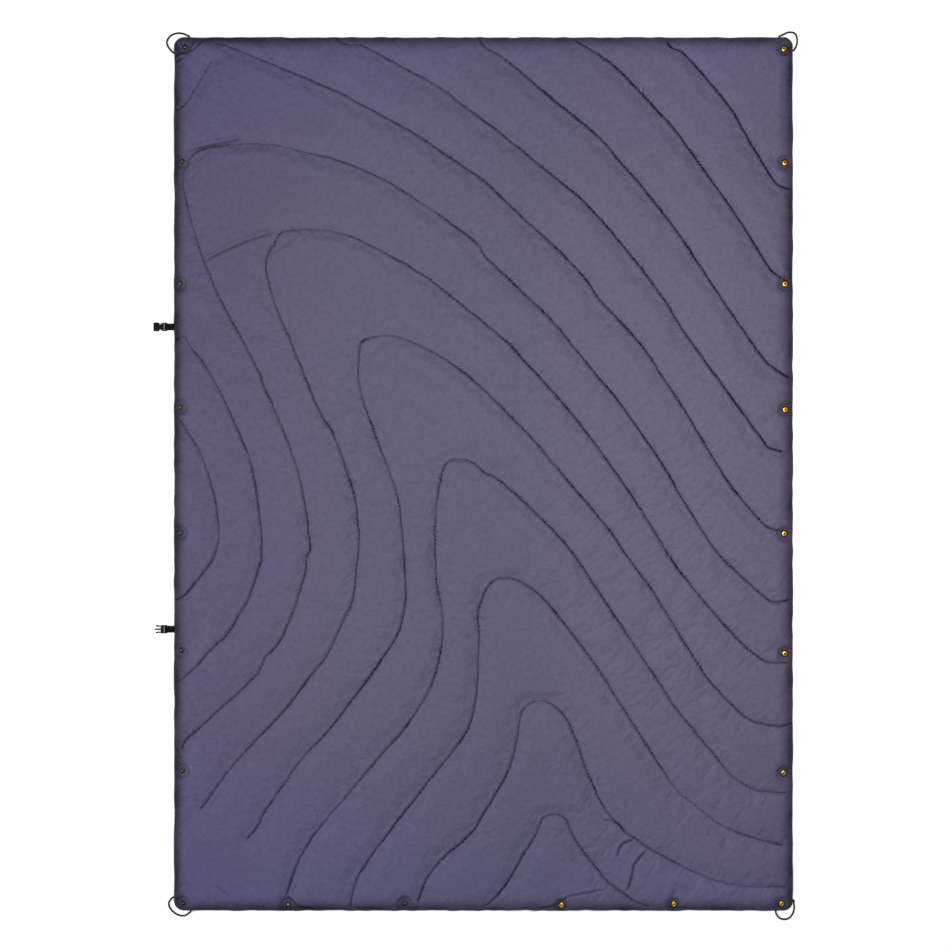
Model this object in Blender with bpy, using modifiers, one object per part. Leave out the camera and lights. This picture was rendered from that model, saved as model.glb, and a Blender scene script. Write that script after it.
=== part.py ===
"""A quilted camp blanket, lying flat with its top side up.

The blanket is two nylon shells sewn round a polyester batting. A hem band with
snap fasteners runs round it, a loop of shock cord leaves each corner, and two
webbing tabs on the left edge carry the halves of a side release buckle.

Frame: metres, +Z up, +Y towards the head end, +X to the right. The origin is
the middle of the underside, which lies on the ground.
"""

import math

import bmesh
import bpy
from mathutils import Vector

MM = 0.001
GAP = 0.3 * MM  # between pieces that touch

# The blanket
WIDTH = 1.370
LENGTH = 1.935
CORNER_RADIUS = 0.020
HEM_WIDTH = 0.030
CROWN_HEIGHT = 0.024
CLOTH = 0.8 * MM
HEM_UNDERSIDE = 2.6 * MM
CORNER_STEPS = 6

# Heights of the stack at the hem, all from the ground
BOTTOM_HEM_TOP = HEM_UNDERSIDE + CLOTH
TOP_HEM_UNDERSIDE = BOTTOM_HEM_TOP + GAP
HEM_TOP = TOP_HEM_UNDERSIDE + CLOTH

# How far in from the edge the shells bend, and how high they are there
TOP_SLOPE = (
    (0.0, HEM_TOP),
    (HEM_WIDTH, HEM_TOP),
    (0.042, 0.0105),
    (0.056, 0.0165),
    (0.074, 0.0215),
    (0.098, CROWN_HEIGHT),
)
BOTTOM_SLOPE = (
    (0.0, HEM_UNDERSIDE),
    (HEM_WIDTH, HEM_UNDERSIDE),
    (0.042, 0.9 * MM),
    (0.056, 0.0),
)
BATTING_INSETS = (0.038, 0.042, 0.056, 0.074, 0.098)
BATTING_CLEARANCE = 2 * GAP

# Snap fasteners. Folded in half lengthwise, the blanket brings each socket on
# its left half to a stud on its right half.
SOCKET_PLACES = (
    (-0.6615, 0.9455),
    (-0.668, 0.692),
    (-0.673, 0.4215),
    (-0.6715, 0.148),
    (-0.6715, -0.1305),
    (-0.6695, -0.390),
    (-0.668, -0.657),
    (-0.6665, -0.951),
    (-0.433, -0.9535),
    (-0.1745, -0.951),
)
STUD_PLACES = (
    (0.666, 0.943),
    (0.668, 0.690),
    (0.6685, 0.4215),
    (0.669, 0.1425),
    (0.667, -0.1325),
    (0.668, -0.3985),
    (0.665, -0.663),
    (0.661, -0.953),
    (0.422, -0.9535),
    (0.173, -0.956),
)
SNAP_RADIUS = 6.5 * MM
RIM_HEIGHT = 0.6 * MM
CAP_UNDERSIDE = 0.4 * MM
CAP_TOP = HEM_UNDERSIDE - GAP
POST_RADIUS = 1.7 * MM
POST_TOP = 5.6 * MM
PUNCHED_RADIUS = 2.1 * MM
FACE_UNDERSIDE = HEM_TOP + GAP
SOCKET_TOP = 7.4 * MM
SOCKET_FLOOR = 5.9 * MM
SOCKET_MOUTH = 2.7 * MM
STUD_TOP = 8.2 * MM
STUD_NECK = 2.5 * MM
STUD_HEAD = 2.9 * MM
SNAP_STEPS = 12
HOLE_STEPS = 8

# Shock cord loops at the corners: (corner, route). A route's points are
# measured from its corner, along X and Y, and run round the outside of it.
CORD_DIAMETER = 0.0040
CORD_EXIT_HEIGHT = 0.0036
CORD_LOW = 0.0022
CORD_END_GAP = 0.0026  # room for a loop's end to turn at the edge
CORD_SPACING = 2.2 * CORD_DIAMETER
CORD_SIDES_RESOLUTION = 2
LOOP_ROUTES = {
    "loop_head_left": (
        (-WIDTH / 2, LENGTH / 2),
        (
            (0.0325, 0.0),
            (0.0290, 0.0045),
            (0.0200, 0.0085),
            (0.0080, 0.0100),
            (-0.0050, 0.0065),
            (-0.0135, -0.0010),
            (-0.0170, -0.0100),
            (-0.0145, -0.0195),
            (-0.0085, -0.0275),
            (0.0, -0.0335),
        ),
    ),
    "loop_head_right": (
        (WIDTH / 2, LENGTH / 2),
        (
            (-0.0290, 0.0),
            (-0.0210, 0.0065),
            (-0.0120, 0.0110),
            (-0.0045, 0.0120),
            (0.0035, 0.0105),
            (0.0085, 0.0050),
            (0.0105, -0.0030),
            (0.0105, -0.0100),
            (0.0090, -0.0175),
            (0.0055, -0.0245),
            (0.0, -0.0285),
        ),
    ),
    "loop_foot_left": (
        (-WIDTH / 2, -LENGTH / 2),
        (
            (0.0, 0.0295),
            (-0.0080, 0.0250),
            (-0.0125, 0.0175),
            (-0.0125, 0.0110),
            (-0.0095, 0.0045),
            (-0.0035, -0.0030),
            (0.0055, -0.0090),
            (0.0160, -0.0120),
            (0.0240, -0.0110),
            (0.0310, -0.0065),
            (0.0355, 0.0),
        ),
    ),
    "loop_foot_right": (
        (WIDTH / 2, -LENGTH / 2),
        (
            (0.0, 0.0225),
            (0.0030, 0.0160),
            (0.0040, 0.0080),
            (0.0030, -0.0010),
            (-0.0005, -0.0095),
            (-0.0060, -0.0160),
            (-0.0135, -0.0195),
            (-0.0215, -0.0195),
            (-0.0285, -0.0170),
            (-0.0335, -0.0115),
            (-0.0365, -0.0060),
            (-0.0370, 0.0),
        ),
    ),
}

# Webbing tabs and the side release buckle for 15 mm webbing. Buckle outlines are
# measured from the middle of the webbing bar: out from the blanket, then across.
TAB_WIDTH = 0.015
TAB_THICKNESS = 2.2 * MM
TAB_HEIGHT = 3.8 * MM
TAB_END_GAP = 1.8 * MM  # room for a tab's end to turn at the edge
BAR_FROM_EDGE = 0.018
BAR_RADIUS = 1.2 * MM
EYE_RADIUS = 1.55 * MM
EYE_OUTSIDE = 2.65 * MM
TAB_STEPS = 14
FEMALE_Y = 0.326
MALE_Y = -0.344
SLOT_HALF = 7.9 * MM
SLOT_OUT = 5.8 * MM
SLOT_IN = -5.0 * MM
BAR_HALF = 8.5 * MM
CHEEK_END = -1.5 * MM
FEMALE_THICKNESS = 7.2 * MM
FEMALE_MOUTH = 0.028
MOUTH_HALF = 7.85 * MM
MOUTH_HEIGHT = 4.7 * MM
MOUTH_DEPTH = 0.0195
FEMALE_OUTLINE = (
    (CHEEK_END, 9.3 * MM),
    (7.0 * MM, 9.2 * MM),
    (9.5 * MM, 8.3 * MM),
    (12.4 * MM, 5.3 * MM),
    (14.8 * MM, 5.3 * MM),
    (16.4 * MM, 9.0 * MM),
    (17.4 * MM, 9.65 * MM),
    (27.2 * MM, 9.65 * MM),
    (FEMALE_MOUTH, 8.9 * MM),
)
MALE_THICKNESS = 6.4 * MM
MALE_FRONT = 11.8 * MM
MALE_OUTLINE = (
    (CHEEK_END, 9.2 * MM),
    (10.4 * MM, 9.2 * MM),
    (MALE_FRONT, 8.4 * MM),
)
GUIDE_TIP = 0.026
GUIDE_HALF = 1.5 * MM
GUIDE_THICKNESS = 3.4 * MM
ARM_ROOT = MALE_FRONT + GAP
ARM_ACROSS = 6.9 * MM
ARM_THICKNESS = 4.0 * MM
ARM_OUTLINE = (
    (0.0, -1.1 * MM),
    (9.2 * MM, -1.3 * MM),
    (11.0 * MM, -0.9 * MM),
    (11.6 * MM, 0.1 * MM),
    (10.9 * MM, 1.4 * MM),
    (9.2 * MM, 2.3 * MM),
    (7.4 * MM, 2.3 * MM),
    (7.0 * MM, 1.1 * MM),
    (0.0, 1.1 * MM),
)


def clear_scene():
    for thing in list(bpy.data.objects):
        bpy.data.objects.remove(thing, do_unlink=True)


def new_collection(name):
    group = bpy.data.collections.new(name)
    bpy.context.scene.collection.children.link(group)
    return group


def new_material(name, color, roughness, metallic=0.0):
    material = bpy.data.materials.new(name)
    material.use_nodes = True
    shader = material.node_tree.nodes["Principled BSDF"]
    shader.inputs["Base Color"].default_value = (*color, 1.0)
    shader.inputs["Roughness"].default_value = roughness
    shader.inputs["Metallic"].default_value = metallic
    return material


def add_object(name, data, group, material, place=(0, 0, 0), turn=(0, 0, 0)):
    thing = bpy.data.objects.new(name, data)
    thing.location = place
    thing.rotation_euler = turn
    data.materials.append(material)
    group.objects.link(thing)
    return thing


def add_cutter(name, data, group, place=(0, 0, 0)):
    cutter = bpy.data.objects.new(name, data)
    cutter.location = place
    cutter.hide_render = True
    cutter.display_type = "WIRE"
    group.objects.link(cutter)
    return cutter


def boolean(thing, cutter, operation):
    modifier = thing.modifiers.new(cutter.name, "BOOLEAN")
    modifier.operation = operation
    modifier.object = cutter


# ---------------------------------------------------------------- shells


def ring(inset):
    """Corner to corner points of the blanket's outline, moved in by inset."""
    radius = max(CORNER_RADIUS - inset, 4 * MM)
    half_x = WIDTH / 2 - inset - radius
    half_y = LENGTH / 2 - inset - radius
    points = []
    for corner, (side_x, side_y) in enumerate(((1, 1), (-1, 1), (-1, -1), (1, -1))):
        for step in range(CORNER_STEPS + 1):
            angle = math.pi / 2 * (corner + step / CORNER_STEPS)
            x = side_x * half_x + radius * math.cos(angle)
            y = side_y * half_y + radius * math.sin(angle)
            points.append((x, y))
    return points


def loft(rings, ends):
    """A mesh through closed rings of equal count, with the chosen ends filled."""
    mesh = bmesh.new()
    rows = [[mesh.verts.new(point) for point in points] for points in rings]
    count = len(rows[0])
    for low, high in zip(rows, rows[1:]):
        for i in range(count):
            j = (i + 1) % count
            mesh.faces.new((low[i], low[j], high[j], high[i]))
    if "first" in ends:
        mesh.faces.new(rows[0][::-1])
    if "last" in ends:
        mesh.faces.new(rows[-1])
    return mesh


def slope_height(slope, inset):
    for (near, low), (far, high) in zip(slope, slope[1:]):
        if inset <= far:
            return low + (high - low) * (inset - near) / (far - near)
    return slope[-1][1]


def punch(radius, group):
    """One cutter for all the holes that the snaps' posts go through."""
    mesh = bmesh.new()
    for x, y in SOCKET_PLACES + STUD_PLACES:
        made = bmesh.ops.create_cone(
            mesh, cap_ends=True, segments=HOLE_STEPS, radius1=radius, radius2=radius, depth=0.02
        )
        bmesh.ops.translate(mesh, verts=made["verts"], vec=(x, y, HEM_TOP))
    data = bpy.data.meshes.new("punched_holes")
    mesh.to_mesh(data)
    mesh.free()
    return add_cutter("punched_holes", data, group)


def shell(name, slope, flip, group, material, holes):
    """A sheet of shell cloth: an outer surface given its thickness inwards."""
    rings = [[(x, y, height) for x, y in ring(inset)] for inset, height in slope]
    mesh = loft(rings, ("last",))
    if flip:
        bmesh.ops.reverse_faces(mesh, faces=mesh.faces)
    data = bpy.data.meshes.new(name)
    mesh.to_mesh(data)
    mesh.free()
    thing = add_object(name, data, group, material)
    thickness = thing.modifiers.new("cloth", "SOLIDIFY")
    thickness.thickness = CLOTH
    thickness.offset = -1
    boolean(thing, holes, "DIFFERENCE")
    return thing


def batting(group, material):
    """The fill: it follows both shells with a clearance to each."""
    lower, upper = [], []
    for inset in BATTING_INSETS:
        floor = slope_height(BOTTOM_SLOPE, inset) + CLOTH + BATTING_CLEARANCE
        roof = slope_height(TOP_SLOPE, inset) - 1.3 * CLOTH - BATTING_CLEARANCE
        lower.append([(x, y, floor) for x, y in ring(inset)])
        upper.append([(x, y, roof) for x, y in ring(inset)])
    mesh = loft(lower[::-1] + upper, ("first", "last"))
    data = bpy.data.meshes.new("batting")
    mesh.to_mesh(data)
    mesh.free()
    return add_object("batting", data, group, material)


# ---------------------------------------------------------------- snaps


def turned(name, profile, closed, group, material, place):
    """A profile of (radius, height) points, turned about its own Z axis."""
    count = len(profile)
    edges = [(i, i + 1) for i in range(count - 1)]
    if closed:
        edges.append((count - 1, 0))
    data = bpy.data.meshes.new(name)
    data.from_pydata([(radius, 0, height) for radius, height in profile], edges, [])
    thing = add_object(name, data, group, material, place)
    screw = thing.modifiers.new("turn", "SCREW")
    screw.steps = SNAP_STEPS
    screw.render_steps = SNAP_STEPS
    screw.use_merge_vertices = True
    screw.merge_threshold = 0.01 * MM
    screw.use_smooth_shade = False
    return thing


def socket_profile():
    return (
        (SNAP_RADIUS - RIM_HEIGHT, SOCKET_TOP),
        (SNAP_RADIUS, SOCKET_TOP - RIM_HEIGHT),
        (SNAP_RADIUS, FACE_UNDERSIDE),
        (PUNCHED_RADIUS, FACE_UNDERSIDE),
        (PUNCHED_RADIUS, SOCKET_FLOOR),
        (SOCKET_MOUTH, SOCKET_FLOOR),
        (SOCKET_MOUTH, SOCKET_TOP),
    )


def stud_profile():
    neck = FACE_UNDERSIDE + 2 * RIM_HEIGHT
    return (
        (0, STUD_TOP),
        (STUD_NECK, STUD_TOP),
        (STUD_HEAD, STUD_TOP - RIM_HEIGHT),
        (STUD_NECK, neck),
        (SNAP_RADIUS - RIM_HEIGHT, neck),
        (SNAP_RADIUS, FACE_UNDERSIDE),
        (PUNCHED_RADIUS, FACE_UNDERSIDE),
        (PUNCHED_RADIUS, POST_TOP + GAP),
        (0, POST_TOP + GAP),
    )


def back_profile(radius, rim):
    return (
        (0, POST_TOP),
        (POST_RADIUS, POST_TOP),
        (POST_RADIUS, CAP_TOP),
        (radius, CAP_TOP),
        (radius, CAP_UNDERSIDE + rim),
        (radius - rim, CAP_UNDERSIDE),
        (0, CAP_UNDERSIDE),
    )


def snaps(group, black_metal, brass):
    for number, (x, y) in enumerate(SOCKET_PLACES, 1):
        place = (x, y, 0)
        turned(f"snap_socket_{number}", socket_profile(), True, group, black_metal, place)
        back = back_profile(SNAP_RADIUS, RIM_HEIGHT)
        turned(f"snap_cap_{number}", back, False, group, black_metal, place)
    for number, (x, y) in enumerate(STUD_PLACES, 1):
        place = (x, y, 0)
        turned(f"snap_stud_{number}", stud_profile(), False, group, brass, place)
        back = back_profile(SNAP_RADIUS - RIM_HEIGHT, RIM_HEIGHT / 2)
        turned(f"snap_post_{number}", back, False, group, brass, place)


# ---------------------------------------------------------------- cord loops


def smooth_points(route, spacing):
    """Evenly spaced points of a Catmull-Rom curve through the route's points."""
    route = [Vector(point) for point in route]
    ends = [2 * route[0] - route[1]] + route + [2 * route[-1] - route[-2]]
    fine = []
    for a, b, c, d in zip(ends, ends[1:], ends[2:], ends[3:]):
        for step in range(24):
            t = step / 24
            fine.append(
                0.5
                * (
                    2 * b
                    + (c - a) * t
                    + (2 * a - 5 * b + 4 * c - d) * t * t
                    + (3 * b - a - 3 * c + d) * t**3
                )
            )
    fine.append(route[-1])
    lengths = [0.0]
    for a, b in zip(fine, fine[1:]):
        lengths.append(lengths[-1] + (b - a).length)
    count = round(lengths[-1] / spacing)
    points, k = [], 0
    for i in range(count + 1):
        target = lengths[-1] * i / count
        while k < len(fine) - 2 and lengths[k + 1] < target:
            k += 1
        share = (target - lengths[k]) / (lengths[k + 1] - lengths[k])
        points.append(fine[k].lerp(fine[k + 1], share))
    return points


def loop_height(share):
    """The cord leaves the hem at mid height and settles almost to the ground."""
    settled = min(share, 1 - share) / 0.3
    ease = min(settled, 1.0)
    ease = ease * ease * (3 - 2 * ease)
    return CORD_EXIT_HEIGHT + (CORD_LOW - CORD_EXIT_HEIGHT) * ease


def loop_route(corner, offsets):
    """A loop's points in the blanket's frame, its ends just clear of the edge."""
    last = len(offsets) - 1
    points = []
    for i, (dx, dy) in enumerate(offsets):
        x, y = corner[0] + dx, corner[1] + dy
        if i in (0, last):
            x += math.copysign(CORD_END_GAP, corner[0]) if dx == 0 else 0
            y += math.copysign(CORD_END_GAP, corner[1]) if dy == 0 else 0
        points.append((x, y, loop_height(i / last)))
    return points


def cord_loop(name, group, material):
    corner, offsets = LOOP_ROUTES[name]
    points = smooth_points(loop_route(corner, offsets), CORD_SPACING)
    start = points[0]
    data = bpy.data.curves.new(name, "CURVE")
    data.dimensions = "3D"
    data.bevel_depth = CORD_DIAMETER / 2
    data.bevel_resolution = CORD_SIDES_RESOLUTION
    data.use_fill_caps = True
    spline = data.splines.new("POLY")
    spline.points.add(len(points) - 1)
    for slot, point in zip(spline.points, points):
        slot.co = (*(point - start), 1)
    return add_object(name, data, group, material, start)


# ---------------------------------------------------------------- webbing and buckle


def flat_outline(name, splines, thickness):
    """A closed mesh from flat outlines in the XY plane, centred on it."""
    data = bpy.data.curves.new(name, "CURVE")
    data.dimensions = "2D"
    data.fill_mode = "BOTH"
    data.extrude = thickness / 2
    for points in splines:
        spline = data.splines.new("POLY")
        spline.points.add(len(points) - 1)
        spline.use_cyclic_u = True
        for slot, (x, y) in zip(spline.points, points):
            slot.co = (x, y, 0, 1)
    guide = bpy.data.objects.new(name, data)
    bpy.context.scene.collection.objects.link(guide)
    depsgraph = bpy.context.evaluated_depsgraph_get()
    made = bpy.data.meshes.new_from_object(guide.evaluated_get(depsgraph))
    bpy.data.objects.remove(guide, do_unlink=True)
    mesh = bmesh.new()
    mesh.from_mesh(made)
    bmesh.ops.remove_doubles(mesh, verts=mesh.verts, dist=0.001 * MM)
    bmesh.ops.recalc_face_normals(mesh, faces=mesh.faces)
    mesh.to_mesh(made)
    mesh.free()
    return made


def both_sides(half):
    """A whole outline from its half, turned so that out from the blanket is -X."""
    upper = [(-out, across) for out, across in half]
    return upper + [(x, -y) for x, y in reversed(upper)]


def tab(name, y, group, material):
    """Webbing that runs from the hem round the buckle's bar and back.

    Its origin is at the hem, where it folds up.
    """
    half = TAB_THICKNESS / 2
    bar_x = TAB_END_GAP - BAR_FROM_EDGE
    start = math.asin(half / EYE_OUTSIDE)
    outline = [(0, -half), (0, half)]
    for step in range(TAB_STEPS + 1):
        angle = start + (2 * math.pi - 2 * start) * step / TAB_STEPS
        x = bar_x + EYE_OUTSIDE * math.cos(angle)
        outline.append((x, EYE_OUTSIDE * math.sin(angle)))
    eye = []
    for step in range(TAB_STEPS):
        angle = 2 * math.pi * step / TAB_STEPS
        eye.append((bar_x + EYE_RADIUS * math.cos(angle), EYE_RADIUS * math.sin(angle)))
    data = flat_outline(name, (outline, eye), TAB_WIDTH)
    place = (-WIDTH / 2 - TAB_END_GAP, y, TAB_HEIGHT)
    return add_object(name, data, group, material, place, (math.pi / 2, 0, 0))


def block(name, low, high, cutters, place):
    """A box between two corners, given out from the bar, across and up."""
    mesh = bmesh.new()
    bmesh.ops.create_cube(mesh, size=1)
    size = [b - a for a, b in zip(low, high)]
    middle = [(a + b) / 2 for a, b in zip(low, high)]
    bmesh.ops.scale(mesh, vec=size, verts=mesh.verts)
    bmesh.ops.translate(mesh, vec=(-middle[0], middle[1], middle[2]), verts=mesh.verts)
    data = bpy.data.meshes.new(name)
    mesh.to_mesh(data)
    mesh.free()
    return add_cutter(name, data, cutters, place)


def webbing_bar(name, cutters, place):
    mesh = bmesh.new()
    bmesh.ops.create_cone(
        mesh, cap_ends=True, segments=12, radius1=BAR_RADIUS, radius2=BAR_RADIUS, depth=2 * BAR_HALF
    )
    data = bpy.data.meshes.new(name)
    mesh.to_mesh(data)
    mesh.free()
    bar = add_cutter(name, data, cutters, place)
    bar.rotation_euler = (math.pi / 2, 0, 0)
    return bar


def slot_and_bar(thing, thickness, cutters):
    """Opens the webbing slot in a buckle half, and puts its bar across it."""
    place = thing.location
    low = (SLOT_IN, -SLOT_HALF, -thickness)
    high = (SLOT_OUT, SLOT_HALF, thickness)
    boolean(thing, block(f"{thing.name}_slot", low, high, cutters, place), "DIFFERENCE")
    boolean(thing, webbing_bar(f"{thing.name}_bar", cutters, place), "UNION")


def buckle_female(group, cutters, material):
    data = flat_outline("buckle_female", (both_sides(FEMALE_OUTLINE),), FEMALE_THICKNESS)
    place = (-WIDTH / 2 - BAR_FROM_EDGE, FEMALE_Y, TAB_HEIGHT)
    thing = add_object("buckle_female", data, group, material, place)
    low = (FEMALE_MOUTH - MOUTH_DEPTH, -MOUTH_HALF, -MOUTH_HEIGHT / 2)
    high = (FEMALE_MOUTH + 2 * MM, MOUTH_HALF, MOUTH_HEIGHT / 2)
    boolean(thing, block("buckle_female_mouth", low, high, cutters, place), "DIFFERENCE")
    slot_and_bar(thing, FEMALE_THICKNESS, cutters)
    return thing


def buckle_male(group, cutters, material):
    data = flat_outline("buckle_male", (both_sides(MALE_OUTLINE),), MALE_THICKNESS)
    place = (-WIDTH / 2 - BAR_FROM_EDGE, MALE_Y, TAB_HEIGHT)
    thing = add_object("buckle_male", data, group, material, place)
    slot_and_bar(thing, MALE_THICKNESS, cutters)
    low = (MALE_FRONT - 2 * MM, -GUIDE_HALF, -GUIDE_THICKNESS / 2)
    high = (GUIDE_TIP, GUIDE_HALF, GUIDE_THICKNESS / 2)
    boolean(thing, block("buckle_male_guide", low, high, cutters, place), "UNION")
    return thing


def buckle_arm(name, side, group, material):
    """A spring arm of the male half; its origin is where it flexes."""
    outline = [(-out, side * across) for out, across in ARM_OUTLINE]
    data = flat_outline(name, (outline,), ARM_THICKNESS)
    x = -WIDTH / 2 - BAR_FROM_EDGE - ARM_ROOT
    place = (x, MALE_Y + side * ARM_ACROSS, TAB_HEIGHT)
    return add_object(name, data, group, material, place)


def build():
    clear_scene()
    parts = new_collection("camp_blanket")
    cutters = new_collection("cutters")
    shell_cloth = new_material("shell_cloth", (0.135, 0.122, 0.190), 0.55)
    lining_cloth = new_material("lining_cloth", (0.120, 0.110, 0.170), 0.6)
    fill = new_material("fill", (0.85, 0.85, 0.84), 0.95)
    black_webbing = new_material("black_webbing", (0.012, 0.012, 0.013), 0.8)
    black_cord = new_material("black_cord", (0.02, 0.02, 0.022), 0.75)
    black_plastic = new_material("black_plastic", (0.015, 0.015, 0.016), 0.4)
    black_metal = new_material("black_metal", (0.045, 0.045, 0.04), 0.35, 1.0)
    brass = new_material("brass", (0.65, 0.42, 0.14), 0.28, 1.0)

    holes = punch(PUNCHED_RADIUS, cutters)
    shell("top_shell", TOP_SLOPE, False, parts, shell_cloth, holes)
    shell("bottom_shell", BOTTOM_SLOPE, True, parts, lining_cloth, holes)
    batting(parts, fill)
    snaps(parts, black_metal, brass)
    for name in LOOP_ROUTES:
        cord_loop(name, parts, black_cord)
    tab("tab_female", FEMALE_Y, parts, black_webbing)
    tab("tab_male", MALE_Y, parts, black_webbing)
    buckle_female(parts, cutters, black_plastic)
    buckle_male(parts, cutters, black_plastic)
    buckle_arm("buckle_arm_head", 1, parts, black_plastic)
    buckle_arm("buckle_arm_foot", -1, parts, black_plastic)


build()
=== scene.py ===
"""Camp blanket: the looks of a quilted blanket with snaps, cord loops and a buckle.

Laid out as an add-on. Run as a script, it registers its operators, calls them in
order and leaves the finished blanket, its stage and its camera in the scene.
"""

import math

import bmesh
import bpy
import numpy as np
from mathutils import Matrix, Vector


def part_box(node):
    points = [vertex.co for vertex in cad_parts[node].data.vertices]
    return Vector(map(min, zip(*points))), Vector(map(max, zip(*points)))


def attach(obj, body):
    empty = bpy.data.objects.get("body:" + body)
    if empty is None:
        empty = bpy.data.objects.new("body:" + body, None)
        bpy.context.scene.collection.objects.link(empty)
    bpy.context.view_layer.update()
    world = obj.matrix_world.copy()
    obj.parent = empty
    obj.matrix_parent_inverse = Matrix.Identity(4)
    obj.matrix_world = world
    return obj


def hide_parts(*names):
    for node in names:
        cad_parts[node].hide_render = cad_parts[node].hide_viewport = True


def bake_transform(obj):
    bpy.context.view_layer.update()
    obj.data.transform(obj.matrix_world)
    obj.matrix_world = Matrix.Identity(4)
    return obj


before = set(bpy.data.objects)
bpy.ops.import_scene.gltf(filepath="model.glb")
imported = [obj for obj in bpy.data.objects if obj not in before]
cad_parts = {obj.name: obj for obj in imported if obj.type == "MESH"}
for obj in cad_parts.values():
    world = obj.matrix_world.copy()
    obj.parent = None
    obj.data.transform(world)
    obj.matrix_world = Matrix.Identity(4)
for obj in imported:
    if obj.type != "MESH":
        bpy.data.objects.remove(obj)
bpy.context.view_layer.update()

bl_info = {
    "name": "Camp blanket",
    "version": (1, 0, 0),
    "blender": (4, 5, 0),
    "location": "View3D > Sidebar > Blanket",
    "description": "Builds a quilted camp blanket around its packed frame",
    "category": "Object",
}

MM = 0.001
SHELL_LOW, SHELL_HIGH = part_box("top_shell")
WIDTH = SHELL_HIGH.x - SHELL_LOW.x
LENGTH = SHELL_HIGH.y - SHELL_LOW.y
HEM_TOP = SHELL_LOW.z + 0.8 * MM
CROWN = SHELL_HIGH.z
HEM_UNDERSIDE = 2.6 * MM
CORNER_RADIUS = 0.020
ROOT = "blanket"

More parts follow.
